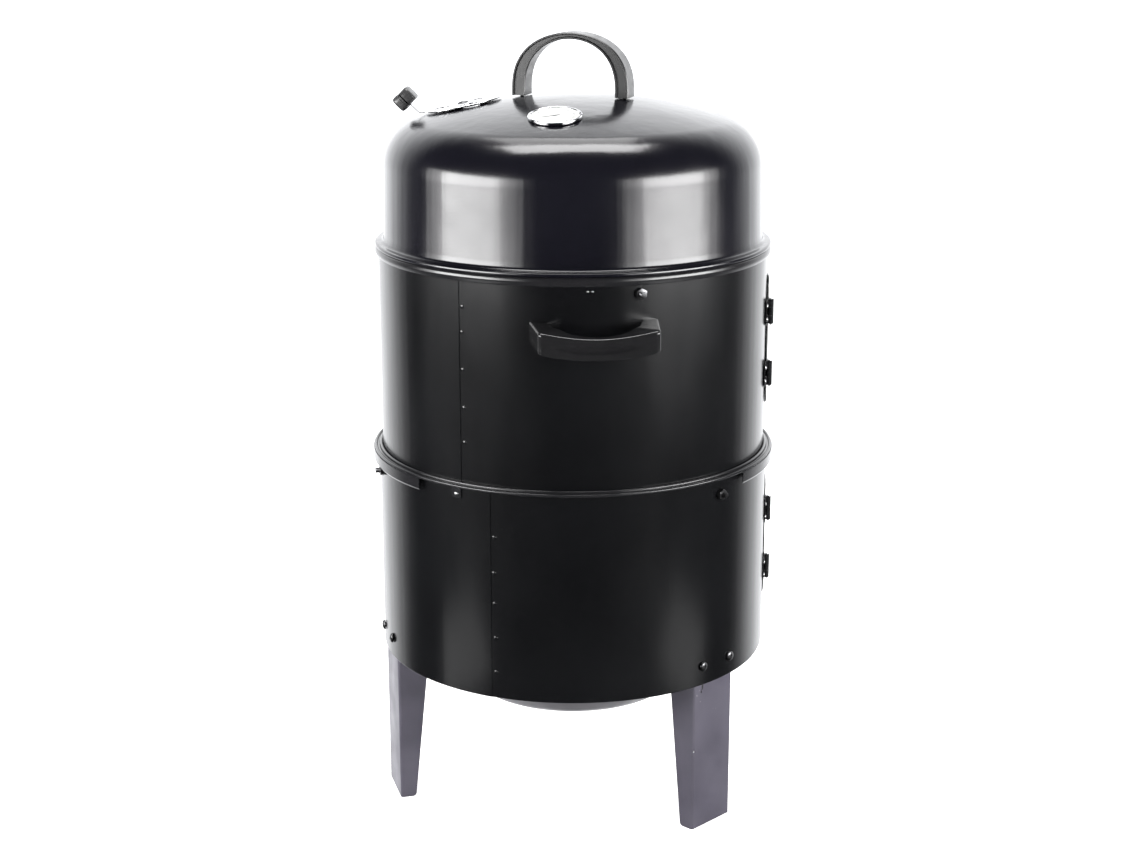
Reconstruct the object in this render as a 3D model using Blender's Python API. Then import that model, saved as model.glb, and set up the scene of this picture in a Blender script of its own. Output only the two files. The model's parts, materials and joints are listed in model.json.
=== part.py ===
"""Upright charcoal smoker: a domed lid on two stacked steel barrels, which stand on three sheet-steel legs.

World frame: origin on the floor on the barrels' axis, +Z up, the front handle towards -Y.
An azimuth is measured in degrees from the front (-Y) towards +X.
"""

import math

import bmesh
import bpy
from mathutils import Matrix, Vector

# ---- Driving dimensions, in metres and degrees ----
GAP = 0.0003  # kept between faces that touch
SEGMENTS = 48  # sides of each large turned piece
VESSEL_SEGMENTS = 32
SHEET = 0.0010  # barrel, lid and door sheet

LEG_SHOW = 0.1590  # floor to the lower barrel's bottom edge
BARREL_RADIUS = 0.2000  # outside of the upper barrel
BARREL_STEP = 0.0030  # the lower barrel is this much larger in radius
LOWER_HEIGHT = 0.2140
UPPER_HEIGHT = 0.2100

RING_SHEET = 0.0013
RING_FLANGE = 0.0090  # shelf that stands out past the upper barrel
RING_BEAD = 0.0017  # height of the rolled outer edge above the shelf
RING_UPSTAND = 0.0100
RING_SLEEVE = 0.0080
RING_SKIRT = 0.0108
SKIRT_FROM = 48.4
SKIRT_TO = 307.2
TOP_BAND = 0.0092  # height of the band round the upper barrel's mouth
TOP_BAND_OUT = 0.0034  # how far the band stands out past the barrel

LID_RIM_HEIGHT = 0.0034
LID_HEIGHT = 0.1495
LID_WALL_INSET = 0.0060  # lid wall inside the barrel's outer radius, at the rim
LID_TAPER = 0.0015  # further inset of the wall where the shoulder starts
LID_SHOULDER = 0.0480
LID_DOME = 0.5500  # radius of the lid's top
LID_TURN = -22.0

HOLE_GAP = 0.0004  # bolt shank to hole, in radius
BOLT_RADIUS = 0.0028
BOLT_HEAD_RADIUS = 0.0050
BOLT_HEAD_HEIGHT = 0.0028
NUT_RADIUS = 0.0057  # over the corners
NUT_HEIGHT = 0.0045
BOLT_END = 0.0045  # thread that stands out past the nut
CUT_REACH = 0.0080  # how far a hole's cutter reaches to each side of its sheet

LEG_AZIMUTHS = {"right": 40.0, "rear": 160.0, "left": -80.0}
LEG_WIDTH = 0.0590
LEG_SHEET = 0.0015
LEG_FLANGE = 0.0330
LEG_FOOT_FLANGE = 0.0170
LEG_INSIDE = 0.0400  # leg length inside the lower barrel
LEG_BOLT_RISE = 0.0200  # bolts above the barrel's bottom edge
LEG_BOLT_SPACING = 0.0410

UPPER_BRACKET_AZIMUTHS = {"right": 12.5, "rear": 132.5, "left": -107.5}
BRACKET_WIDTH = 0.0180
BRACKET_SHEET = 0.0015
LOWER_BOLT_CLEAR = 0.0006  # bracket nut below the ring's skirt
UPPER_BOLT_CLEAR = 0.0030  # bracket nut below the top ring's band
BRACKET_PLATE_TOP = 0.0100  # plate's top below the barrel's top edge
LOWER_SHELF_DROP = 0.0400  # grate shelf below the lower barrel's top edge
UPPER_SHELF_DROP = 0.0280  # the same in the upper barrel, above the handle screws
GRATE_SHELF = 0.0190
PAN_SHELF_DROP = 0.0260  # pan shelf below the grate shelf
PAN_SHELF = 0.0150

GRATE_WIRE = 0.0022  # wire radius
GRATE_INSET = 0.0110  # grate edge inside the barrel's inner wall
GRATE_PITCH = 0.0270

PAN_DEPTH = 0.0650
PAN_RIM_GAP = 0.0025  # pan to the bracket riser and to the shelf's tip
PAN_WALL_LEAN = 0.0260
BOWL_SHEET = 0.0012
BOWL_DROP = 0.0540  # bowl bottom below the barrel's bottom edge
BOWL_FLOOR_RADIUS = 0.1040
BOWL_FILLET = 0.0420
BOWL_RIM = 0.0200
BOWL_HOLE_RADIUS = 0.0060
BOWL_HOLES = 6
BOWL_HOLE_CIRCLE = 0.0620

DOOR_HEIGHT = 0.1355
DOOR_ARC = 0.1800
DOOR_LAP = 0.0100  # door edge beyond the opening, all round
DOOR_GAP = 0.0006
UPPER_DOOR_AZIMUTH = 77.0  # hinge axis
LOWER_DOOR_AZIMUTH = 83.0
UPPER_DOOR_RISE = 0.0054  # door centre above the barrel's middle
LOWER_DOOR_RISE = 0.0010
HINGE_SPACING = 0.0650
HINGE_HEIGHT = 0.0255
HINGE_LEAF = 0.0150
HINGE_SHEET = 0.0010
HINGE_AXIS_OUT = 0.0052  # hinge axis outside the barrel wall
KNUCKLE_RADIUS = 0.0027
PIN_RADIUS = 0.0014
PIN_GAP = 0.0001
KNUCKLE_GAP = 0.0004
LATCH_INSET = 0.0155  # latch spindle from the door's free edge
LATCH_SPINDLE = 0.0030
LATCH_REACH = 0.0160  # spindle's axis to the tongue's tip
LATCH_COLLAR = 0.0090
LATCH_TONGUE = 0.0036  # half width
LATCH_GRIP = (0.0260, 0.0070, 0.0110)

HANDLE_SPAN = 0.1210
HANDLE_OUT = 0.0400
HANDLE_TALL = 0.0206
HANDLE_THICK = 0.0120
HANDLE_BEND = 0.0180
HANDLE_DROOP = 0.0080
HANDLE_DROP = 0.0515  # handle feet's middle below the barrel's top edge
SCREW_RADIUS = 0.0020
SCREW_HEAD_RADIUS = 0.0040
SCREW_HEAD_HEIGHT = 0.0022
SCREW_BITE = 0.0100  # depth in the handle's foot

LID_HANDLE_SPAN = 0.1220
LID_HANDLE_HEIGHT = 0.0625  # top above the lid's crown
LID_HANDLE_DEPTH = 0.0255
LID_HANDLE_TOP_THICK = 0.0066
LID_HANDLE_FOOT_THICK = 0.0140
LID_HANDLE_SPRING = 0.08  # share of the height at which the straight feet turn into the arch
ARCH_FULLNESS = 0.8  # below 1 the arch is squarer than an ellipse

GAUGE_AZIMUTH = -15.0
GAUGE_INSET = 0.0220  # bezel edge inside the lid's shoulder
GAUGE_RADIUS = 0.0265
GAUGE_HEIGHT = 0.0046
GAUGE_LIP = 0.0035
GAUGE_STEM_RADIUS = 0.0040
GAUGE_STEM = 0.0450
GAUGE_RECESS = 0.0021  # dial's back above the lid

VENT_AZIMUTH = -101.0
VENT_INSET = 0.0063
VENT_RADIUS = 0.0400
VENT_HOLE_RADIUS = 0.0090
VENT_HOLE_CIRCLE = 0.0220
VENT_HOLES = 3
VENT_HOLES_FROM = 60.0
VENT_TAB_WIDTH = 0.0130
VENT_TAB_RUN = 0.0050
VENT_TAB_LENGTH = 0.0250
VENT_TAB_ANGLE = 56.0  # rise of the tab from the disc
VENT_PIVOT_RADIUS = 0.0028
VENT_HEAD_RADIUS = 0.0060
KNOB_SIZE = (0.0240, 0.0170, 0.0160)
KNOB_BITE = 0.0120  # how far the tab reaches into the knob

# ---- Places worked out from the driving dimensions ----
LOWER_RADIUS = BARREL_RADIUS + BARREL_STEP
FACET = math.cos(math.pi / SEGMENTS)  # a turned wall's mid-facet radius, as a share of its corner radius
UPPER_INNER = BARREL_RADIUS - SHEET
LOWER_INNER = LOWER_RADIUS - SHEET
LOWER_TOP = LEG_SHOW + LOWER_HEIGHT
RING_BASE = LOWER_TOP + GAP
RING_TOP = RING_BASE + RING_SHEET
UPPER_FOOT = RING_TOP + GAP
UPPER_TOP = UPPER_FOOT + UPPER_HEIGHT
LEDGE_BASE = UPPER_TOP + GAP
LEDGE_TOP = LEDGE_BASE + RING_SHEET
LID_BASE = LEDGE_TOP + GAP
LID_CROWN = LID_BASE + LID_HEIGHT
LID_WALL = BARREL_RADIUS - LID_WALL_INSET
SHOULDER_CENTRE_R = LID_WALL - LID_TAPER - LID_SHOULDER
DOME_CENTRE_Z = LID_CROWN - LID_DOME
SHOULDER_CENTRE_Z = DOME_CENTRE_Z + math.sqrt((LID_DOME - LID_SHOULDER) ** 2 - SHOULDER_CENTRE_R**2)
SHOULDER_START_R = SHOULDER_CENTRE_R * LID_DOME / (LID_DOME - LID_SHOULDER)
DOME_RINGS = (SHOULDER_START_R, 0.7 * SHOULDER_START_R, 0.35 * SHOULDER_START_R, 0.0)
SHOULDER_END = math.degrees(math.atan2(SHOULDER_CENTRE_Z - DOME_CENTRE_Z, SHOULDER_CENTRE_R))
GAUGE_R = SHOULDER_START_R - GAUGE_RADIUS - GAUGE_INSET
VENT_R = SHOULDER_START_R - VENT_RADIUS - VENT_INSET
LEG_FACE = math.sqrt((LOWER_INNER * FACET) ** 2 - (LEG_WIDTH / 2) ** 2) - GAP
LEG_TOP = LEG_SHOW + LEG_INSIDE
UPPER_DOOR_Z = (UPPER_FOOT + UPPER_TOP) / 2 + UPPER_DOOR_RISE
LOWER_DOOR_Z = (LEG_SHOW + LOWER_TOP) / 2 + LOWER_DOOR_RISE
HANDLE_Z = UPPER_TOP - HANDLE_DROP
HOLE_RADIUS = BOLT_RADIUS + HOLE_GAP
NUT_HALF_FLAT = NUT_RADIUS * math.cos(math.pi / 6)
LOWER_BOLT_Z = RING_BASE - RING_SKIRT - NUT_HALF_FLAT - LOWER_BOLT_CLEAR
UPPER_BOLT_Z = LEDGE_TOP - TOP_BAND - NUT_HALF_FLAT - UPPER_BOLT_CLEAR

MATERIALS = {
    "black_enamel": ((0.012, 0.012, 0.014), 0.22, 0.3),
    "leg_steel": ((0.085, 0.080, 0.092), 0.45, 0.6),
    "bowl_steel": ((0.110, 0.108, 0.115), 0.40, 0.7),
    "black_plastic": ((0.010, 0.010, 0.011), 0.25, 0.0),
    "dark_fastener": ((0.030, 0.030, 0.032), 0.35, 0.8),
    "bright_steel": ((0.620, 0.620, 0.630), 0.28, 1.0),
    "chrome": ((0.800, 0.800, 0.810), 0.08, 1.0),
    "dial_white": ((0.850, 0.850, 0.840), 0.45, 0.0),
}

OUTWARD = Matrix.Rotation(math.radians(90), 4, "X")  # takes a piece's +Z to -Y
WORLD = {}  # world matrix of each group's empty


# ---- Helpers ----
def clear_scene():
    for obj in list(bpy.data.objects):
        bpy.data.objects.remove(obj, do_unlink=True)


def material(name):
    """The named Principled material, made the first time it is asked for."""
    found = bpy.data.materials.get(name)
    if found:
        return found
    colour, roughness, metallic = MATERIALS[name]
    made = bpy.data.materials.new(name)
    made.use_nodes = True
    shader = made.node_tree.nodes["Principled BSDF"]
    shader.inputs["Base Color"].default_value = (*colour, 1.0)
    shader.inputs["Roughness"].default_value = roughness
    shader.inputs["Metallic"].default_value = metallic
    made.diffuse_color = (*colour, 1.0)
    return made


def station(azimuth, radius, z):
    """A frame at this azimuth: -Y points away from the barrels' axis, +X along rising azimuth, +Z up."""
    turn = Matrix.Rotation(math.radians(azimuth), 4, "Z")
    return turn @ Matrix.Translation((0, -radius, z))


def dome_station(azimuth, radius):
    """A frame on the lid's top: -Y points down the slope, +Z along the dome's outward normal."""
    slope = math.asin(radius / LID_DOME)
    z = DOME_CENTRE_Z + LID_DOME * math.cos(slope)
    return station(azimuth, radius, z) @ Matrix.Rotation(slope, 4, "X")


def group(name, matrix, parent=None):
    """An empty that carries a body's pieces, on that body's joint axis."""
    empty = bpy.data.objects.new(name, None)
    empty.empty_display_size = 0.03
    bpy.context.scene.collection.objects.link(empty)
    empty.parent = parent
    empty.matrix_basis = WORLD[parent.name].inverted() @ matrix if parent else matrix
    WORLD[name] = matrix
    return empty


def object_from(bm, name, matrix=None):
    """Turns a bmesh in the piece's own frame into a closed, outward object, placed by the matrix."""
    bmesh.ops.recalc_face_normals(bm, faces=bm.faces)
    if bm.calc_volume(signed=True) < 0:
        bmesh.ops.reverse_faces(bm, faces=bm.faces)
    mesh = bpy.data.meshes.new(name)
    bm.to_mesh(mesh)
    bm.free()
    obj = bpy.data.objects.new(name, mesh)
    bpy.context.scene.collection.objects.link(obj)
    obj.matrix_world = matrix or Matrix()
    return obj


def spun(bm, geom, steps, sweep=360.0):
    """Spins the geometry round Z and welds the seam of a full turn."""
    bmesh.ops.spin(
        bm,
        geom=geom,
        axis=(0, 0, 1),
        cent=(0, 0, 0),
        dvec=(0, 0, 0),
        angle=math.radians(sweep),
        steps=steps,
        use_merge=sweep >= 360.0,
        use_duplicate=False,
    )
    bmesh.ops.remove_doubles(bm, verts=bm.verts, dist=1e-6)
    return bm


def turned(name, profile, matrix=None, segments=SEGMENTS):
    """Spins an outline of (radius, z) points through a full turn. It is a loop, or ends on the axis."""
    bm = bmesh.new()
    verts = [bm.verts.new((radius, 0, z)) for radius, z in profile]
    pairs = zip(verts, verts[1:] + verts[:1])
    edges = [bm.edges.new(pair) for pair in pairs if pair[0].co.x > 0 or pair[1].co.x > 0]
    return object_from(spun(bm, verts + edges, segments), name, matrix)


def swept(name, profile, start, end):
    """Spins a closed (radius, z) outline from one azimuth to another, with flat ends."""
    bm = bmesh.new()
    verts = [bm.verts.new((0, -radius, z)) for radius, z in profile]
    bmesh.ops.rotate(bm, verts=verts, cent=(0, 0, 0), matrix=Matrix.Rotation(math.radians(start), 3, "Z"))
    steps = max(2, round(SEGMENTS * (end - start) / 360.0))
    return object_from(spun(bm, [bm.faces.new(verts)], steps, end - start), name)


def drum(name, radius, low, high, matrix, sides=8):
    """A plain round bar along the frame's Z."""
    return turned(name, [(0, low), (radius, low), (radius, high), (0, high)], matrix, sides)


def rod(name, radius, start, end, matrix, sides=8):
    """A plain round bar along the frame's outward direction, from start to end."""
    return drum(name, radius, start, end, matrix @ OUTWARD, sides)


def hole_cutter(radius, matrix, sides=8):
    """A bar along the frame's outward direction that goes well through a sheet at the frame's origin."""
    return rod("hole", radius, -CUT_REACH, CUT_REACH, matrix, sides)


def loft(name, sections, matrix=None):
    """Skins a row of sections, each a list of as many points, and caps both ends."""
    bm = bmesh.new()
    rows = [[bm.verts.new(point) for point in section] for section in sections]
    count = len(rows[0])
    for low, high in zip(rows, rows[1:]):
        for i in range(count):
            bm.faces.new((low[i], low[(i + 1) % count], high[(i + 1) % count], high[i]))
    bm.faces.new(rows[0][::-1])
    bm.faces.new(rows[-1])
    return object_from(bm, name, matrix)


def box(name, low, high, matrix=None):
    bm = bmesh.new()
    size = Vector(high) - Vector(low)
    middle = (Vector(high) + Vector(low)) / 2
    bmesh.ops.create_cube(bm, size=1.0, matrix=Matrix.Translation(middle) @ Matrix.Diagonal((*size, 1)))
    return object_from(bm, name, matrix)


def prism(name, outline, low, high, across, matrix=None):
    """Extrudes a 2D outline. across names the extrusion's axis, and the outline fills the other two."""
    place = {
        "X": lambda u, v, w: (w, u, v),
        "Y": lambda u, v, w: (u, w, v),
        "Z": lambda u, v, w: (u, v, w),
    }[across]
    sections = [[place(u, v, w) for u, v in outline] for w in (low, high)]
    return loft(name, sections, matrix)


def evaluated_copy(obj):
    """Replaces the object's mesh by the one its modifiers give."""
    bpy.context.view_layer.update()
    graph = bpy.context.evaluated_depsgraph_get()
    mesh = bpy.data.meshes.new_from_object(obj.evaluated_get(graph))
    obj.modifiers.clear()
    old = obj.data
    obj.data = mesh
    bpy.data.meshes.remove(old)
    mesh.name = obj.name


def combine(target, others, operation):
    """Booleans the other objects into or out of the target, then removes them."""
    for other in others:
        modifier = target.modifiers.new(operation.title(), "BOOLEAN")
        modifier.operation = operation
        modifier.solver = "EXACT"
        modifier.object = other
    evaluated_copy(target)
    for other in others:
        bpy.data.objects.remove(other, do_unlink=True)
    return target


def unite(target, *others):
    return combine(target, others, "UNION")


def cut(target, *others):
    return combine(target, others, "DIFFERENCE")


def finish(obj, parent, slot):
    """Gives the piece its material and shading, puts its origin on the group's axis and parents it."""
    base = WORLD[parent.name]
    obj.data.transform(base.inverted() @ obj.matrix_world)
    obj.parent = parent
    obj.matrix_basis = Matrix()
    obj.data.materials.clear()
    obj.data.materials.append(material(slot))
    obj.data.shade_smooth()
    obj.data.set_sharp_from_angle(angle=math.radians(35))
    return obj


def arc(centre, radius, start, end, steps):
    """Points on an arc in a 2D outline, from one angle to another, in degrees."""
    turns = [math.radians(start + (end - start) * i / steps) for i in range(steps + 1)]
    return [(centre[0] + radius * math.cos(t), centre[1] + radius * math.sin(t)) for t in turns]


def sheet_outline(path, thickness):
    """Closed outline of a folded sheet: the path, and its copy offset to the path's left."""
    points = [Vector(point) for point in path]
    far = []
    for i, point in enumerate(points):
        before = point - points[i - 1] if i else points[1] - point
        after = points[i + 1] - point if i + 1 < len(points) else before
        first = Vector((-before.y, before.x)).normalized()
        second = Vector((-after.y, after.x)).normalized()
        miter = (first + second).normalized()
        far.append(point + miter * (thickness / miter.dot(first)))
    return [tuple(point) for point in points + far[::-1]]


# ---- Fasteners ----
def bolt(name, matrix, parent, inner_face, outer_face, head_outside=False):
    """Bolt and nut clamping what lies between two faces, given as distances along the outward direction."""
    head_face, nut_face = (outer_face, inner_face) if head_outside else (inner_face, outer_face)
    way = 1 if head_outside else -1
    head_start = head_face + way * GAP
    head_end = head_start + way * BOLT_HEAD_HEIGHT
    neck = head_start - way * BOLT_HEAD_HEIGHT / 4
    nut_start = nut_face - way * GAP
    nut_end = nut_start - way * NUT_HEIGHT
    tip = nut_end - way * BOLT_END
    shank = rod(name, BOLT_RADIUS, min(head_start, tip), max(head_start, tip), matrix)
    rounded = [
        (0, neck),
        (BOLT_RADIUS * 0.8, neck),
        (BOLT_RADIUS * 0.8, head_start),
        (BOLT_HEAD_RADIUS, head_start),
        (BOLT_HEAD_RADIUS * 0.7, head_end - way * BOLT_HEAD_HEIGHT / 5),
        (0, head_end),
    ]
    head = turned("head", rounded, matrix @ OUTWARD, 10)
    nut = rod("nut", NUT_RADIUS, min(nut_start, nut_end), max(nut_start, nut_end), matrix, 6)
    return finish(unite(shank, head, nut), parent, "dark_fastener")


def screw(name, matrix, parent, seat, tip):
    """Pan-head screw along the frame's Z, with its head below the seat."""
    profile = [
        (0, seat - SCREW_HEAD_HEIGHT),
        (SCREW_HEAD_RADIUS * 0.75, seat - SCREW_HEAD_HEIGHT),
        (SCREW_HEAD_RADIUS, seat - SCREW_HEAD_HEIGHT / 2),
        (SCREW_HEAD_RADIUS, seat),
        (SCREW_RADIUS, seat),
        (SCREW_RADIUS, tip - SCREW_RADIUS / 2),
        (0, tip),
    ]
    return finish(turned(name, profile, matrix, 8), parent, "dark_fastener")


# ---- Barrels and rings ----
def barrel(name, radius, foot, top, window, holes):
    """Open cylinder with a door opening and bolt holes."""
    shell = turned(name, [(radius, foot), (radius, top), (radius - SHEET, top), (radius - SHEET, foot)])
    return cut(shell, window, *holes)


def door_edges(hinge_azimuth, radius):
    """Azimuths of the door's hinge edge and free edge."""
    hinge_edge = hinge_azimuth + math.degrees((KNUCKLE_RADIUS + KNUCKLE_GAP) / radius)
    return hinge_edge, hinge_edge + math.degrees(DOOR_ARC / radius)


def door_window(radius, hinge_azimuth, middle):
    """Cutter for the opening behind a door."""
    first, last = door_edges(hinge_azimuth, radius)
    lap = math.degrees(DOOR_LAP / radius)
    half = DOOR_HEIGHT / 2 - DOOR_LAP
    profile = [
        (radius - CUT_REACH, middle - half),
        (radius + CUT_REACH, middle - half),
        (radius + CUT_REACH, middle + half),
        (radius - CUT_REACH, middle + half),
    ]
    return swept("window", profile, first + lap, last - lap)


def bolt_holes(azimuths, radius, z):
    return [hole_cutter(HOLE_RADIUS, station(azimuth, radius, z)) for azimuth in azimuths.values()]


def leg_bolt_places():
    """Frames of the leg bolts, keyed by leg and side, with the origin on the leg's outer face."""
    places = {}
    z = LEG_SHOW + LEG_BOLT_RISE
    for leg, azimuth in LEG_AZIMUTHS.items():
        for side, sign in (("a", -1), ("b", 1)):
            slide = Matrix.Translation((sign * LEG_BOLT_SPACING / 2, 0, 0))
            places[leg, side] = station(azimuth, LEG_FACE, z) @ slide
    return places


def lower_barrel_shell(body):
    holes = bolt_holes(LEG_AZIMUTHS, LOWER_RADIUS, LOWER_BOLT_Z)
    holes += [hole_cutter(HOLE_RADIUS, place) for place in leg_bolt_places().values()]
    window = door_window(LOWER_RADIUS, LOWER_DOOR_AZIMUTH, LOWER_DOOR_Z)
    shell = barrel("lower_shell", LOWER_RADIUS, LEG_SHOW, LOWER_TOP, window, holes)
    finish(shell, body, "black_enamel")


def connecting_ring(body):
    """Ring on the lower barrel: a sleeve inside it, a wide flange, and an upstand inside the upper barrel."""
    upstand = UPPER_INNER * FACET - GAP
    sleeve = LOWER_INNER * FACET - GAP
    edge = BARREL_RADIUS + RING_FLANGE
    profile = [
        (upstand - RING_SHEET, RING_BASE),
        (sleeve - RING_SHEET, RING_BASE),
        (sleeve - RING_SHEET, RING_BASE - RING_SLEEVE),
        (sleeve, RING_BASE - RING_SLEEVE),
        (sleeve, RING_BASE),
        (edge, RING_BASE),
        (edge, RING_TOP + RING_BEAD),
        (edge - RING_SHEET, RING_TOP + RING_BEAD),
        (edge - RING_SHEET, RING_TOP),
        (upstand, RING_TOP),
        (upstand, RING_TOP + RING_UPSTAND),
        (upstand - RING_SHEET, RING_TOP + RING_UPSTAND),
    ]
    ring = turned("connecting_ring", profile)
    skirt_profile = [
        (edge - RING_SHEET - GAP, RING_BASE - RING_SKIRT),
        (edge - GAP, RING_BASE - RING_SKIRT),
        (edge - GAP, RING_TOP - GAP),
        (edge - RING_SHEET - GAP, RING_TOP - GAP),
    ]
    skirt = swept("skirt", skirt_profile, SKIRT_FROM, SKIRT_TO)
    finish(unite(ring, skirt), body, "black_enamel")


def top_ring(body):
    """Rolled ring on the upper barrel's mouth: an outer band, a ledge, and a lip that centres the lid."""
    band_outer = BARREL_RADIUS + TOP_BAND_OUT
    band_inner = BARREL_RADIUS / FACET + GAP
    lip = (LID_WALL - SHEET) * FACET - 2 * GAP
    profile = [
        (lip - RING_SHEET, LEDGE_BASE),
        (band_inner, LEDGE_BASE),
        (band_inner, LEDGE_TOP - TOP_BAND),
        (band_outer, LEDGE_TOP - TOP_BAND),
        (band_outer, LEDGE_TOP),
        (lip, LEDGE_TOP),
        (lip, LEDGE_TOP + RING_UPSTAND / 2),
        (lip - RING_SHEET, LEDGE_TOP + RING_UPSTAND / 2),
    ]
    finish(turned("top_ring", profile), body, "black_enamel")


# ---- Legs ----
def leg(name, azimuth, body):
    """U-section leg: a flat web just inside the barrel wall, and two flanges that taper to the foot."""
    half = LEG_WIDTH / 2

    def section(z, depth):
        path = [(-half, depth), (-half, 0), (half, 0), (half, depth)]
        return [(x, y, z) for x, y in sheet_outline(path, LEG_SHEET)]

    sections = [section(0, LEG_FOOT_FLANGE), section(LEG_SHOW, LEG_FLANGE), section(LEG_TOP, LEG_FLANGE)]
    made = loft(name, sections, station(azimuth, LEG_FACE, 0))
    side = name.removeprefix("leg_")
    places = [place for (of_leg, _), place in leg_bolt_places().items() if of_leg == side]
    holes = [hole_cutter(HOLE_RADIUS, place) for place in places]
    finish(cut(made, *holes), body, "leg_steel")


def legs(body):
    for side, azimuth in LEG_AZIMUTHS.items():
        leg("leg_" + side, azimuth, body)
    across = LEG_BOLT_SPACING / 2 - BOLT_HEAD_RADIUS
    wall = math.sqrt(LOWER_RADIUS**2 - across**2) - LEG_FACE
    for (side, end), place in leg_bolt_places().items():
        bolt(f"leg_bolt_{side}_{end}", place, body, -LEG_SHEET, wall, head_outside=True)


# ---- Brackets ----
def bracket_face(barrel_inner):
    """Distance from the axis to the flat plate of a bracket just inside this wall."""
    return math.sqrt((barrel_inner * FACET) ** 2 - (BRACKET_WIDTH / 2) ** 2) - GAP


def bracket(name, azimuth, barrel_inner, barrel_top, bolt_z, tiers, body):
    """Stepped bracket bolted inside the barrel. Each tier is a drop down to a shelf and the shelf's depth."""
    face = bracket_face(barrel_inner)
    depth, z = 0.0, -BRACKET_PLATE_TOP
    path = [(depth, z)]
    for level, shelf in tiers:
        path.append((depth, level - BRACKET_SHEET))
        depth += shelf
        path.append((depth, level - BRACKET_SHEET))
    outline = sheet_outline(path, BRACKET_SHEET)
    place = station(azimuth, face, barrel_top)
    made = prism(name, outline, -BRACKET_WIDTH / 2, BRACKET_WIDTH / 2, "X", place)
    bolt_place = station(azimuth, face, bolt_z)
    finish(cut(made, hole_cutter(HOLE_RADIUS, bolt_place)), body, "bright_steel")
    wall = barrel_inner + SHEET - face
    bolt(name.replace("bracket", "bracket_bolt"), bolt_place, body, -BRACKET_SHEET, wall)


def brackets(prefix, azimuths, barrel_inner, barrel_top, bolt_z, tiers, body):
    for side, azimuth in azimuths.items():
        bracket(f"{prefix}_bracket_{side}", azimuth, barrel_inner, barrel_top, bolt_z, tiers, body)


# ---- Doors ----
def hinge(prefix, place, body, door):
    """Butt hinge: fixed leaf with the two end knuckles, door leaf with the middle one, and the pin."""
    half = HINGE_HEIGHT / 2
    sixth = HINGE_HEIGHT / 6
    clear = sixth + KNUCKLE_GAP
    bore = PIN_RADIUS + PIN_GAP
    wall_face = -HINGE_AXIS_OUT
    fixed_base = wall_face + GAP
    door_base = wall_face + DOOR_GAP + SHEET + GAP

    def knuckle(low, high):
        return drum("knuckle", KNUCKLE_RADIUS, low, high, place, 10)

    def plate(name, across, out, up):
        """A block given by its range across the hinge, outward from the axis, and in height."""
        return box(name, (across[0], -out[1], up[0]), (across[1], -out[0], up[1]), place)

    fixed_out = (fixed_base, fixed_base + HINGE_SHEET)
    fixed = plate(prefix + "fixed_leaf", (-HINGE_LEAF, -KNUCKLE_RADIUS / 2), fixed_out, (-half, half))
    for ends in ((-half, -clear), (clear, half)):
        rise = plate("rise", (-KNUCKLE_RADIUS * 0.9, -KNUCKLE_RADIUS * 0.2), (fixed_base, -PIN_RADIUS), ends)
        unite(fixed, rise, knuckle(*ends))
    slot_across = (-KNUCKLE_RADIUS - KNUCKLE_GAP, KNUCKLE_RADIUS)
    slot = plate("slot", slot_across, (wall_face, KNUCKLE_RADIUS), (-clear, clear))
    finish(cut(fixed, slot, drum("bore", bore, -HINGE_HEIGHT, HINGE_HEIGHT, place, 10)), body, "black_enamel")

    door_out = (door_base, door_base + HINGE_SHEET)
    moving = plate(prefix + "door_leaf", (KNUCKLE_RADIUS + KNUCKLE_GAP, HINGE_LEAF), door_out, (-half, half))
    tongue_out = (door_base, -PIN_RADIUS)
    tongue = plate("tongue", (KNUCKLE_RADIUS * 0.2, KNUCKLE_RADIUS * 2), tongue_out, (-sixth, sixth))
    unite(moving, tongue, knuckle(-sixth, sixth))
    finish(cut(moving, drum("bore", bore, -HINGE_HEIGHT, HINGE_HEIGHT, place, 10)), door, "black_enamel")

    pin_end = half + PIN_RADIUS
    finish(drum(prefix + "pin", PIN_RADIUS, -pin_end, pin_end, place, 10), body, "bright_steel")


def door(prefix, radius, azimuth, middle, body):
    """Curved door on two hinges, with a twist latch near its free edge. The latch is stored released."""
    axis = station(azimuth, radius + HINGE_AXIS_OUT, middle)
    door_body = group(prefix + "_door", axis, body)
    first, last = door_edges(azimuth, radius)
    inner = radius + DOOR_GAP
    outer = inner + SHEET
    low, high = middle - DOOR_HEIGHT / 2, middle + DOOR_HEIGHT / 2
    profile = [(inner, low), (outer, low), (outer, high), (inner, high)]
    panel = swept(prefix + "_door_panel", profile, first, last)
    spindle = station(last - math.degrees(LATCH_INSET / radius), inner, middle)
    cut(panel, hole_cutter(LATCH_SPINDLE + HOLE_GAP, spindle, 12))
    finish(panel, door_body, "black_enamel")
    for end, rise in (("top", HINGE_SPACING / 2), ("bottom", -HINGE_SPACING / 2)):
        place = station(azimuth, radius + HINGE_AXIS_OUT, middle + rise)
        hinge(f"{prefix}_hinge_{end}_", place, body, door_body)
    latch(prefix + "_door_latch", spindle, radius, door_body)


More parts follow.
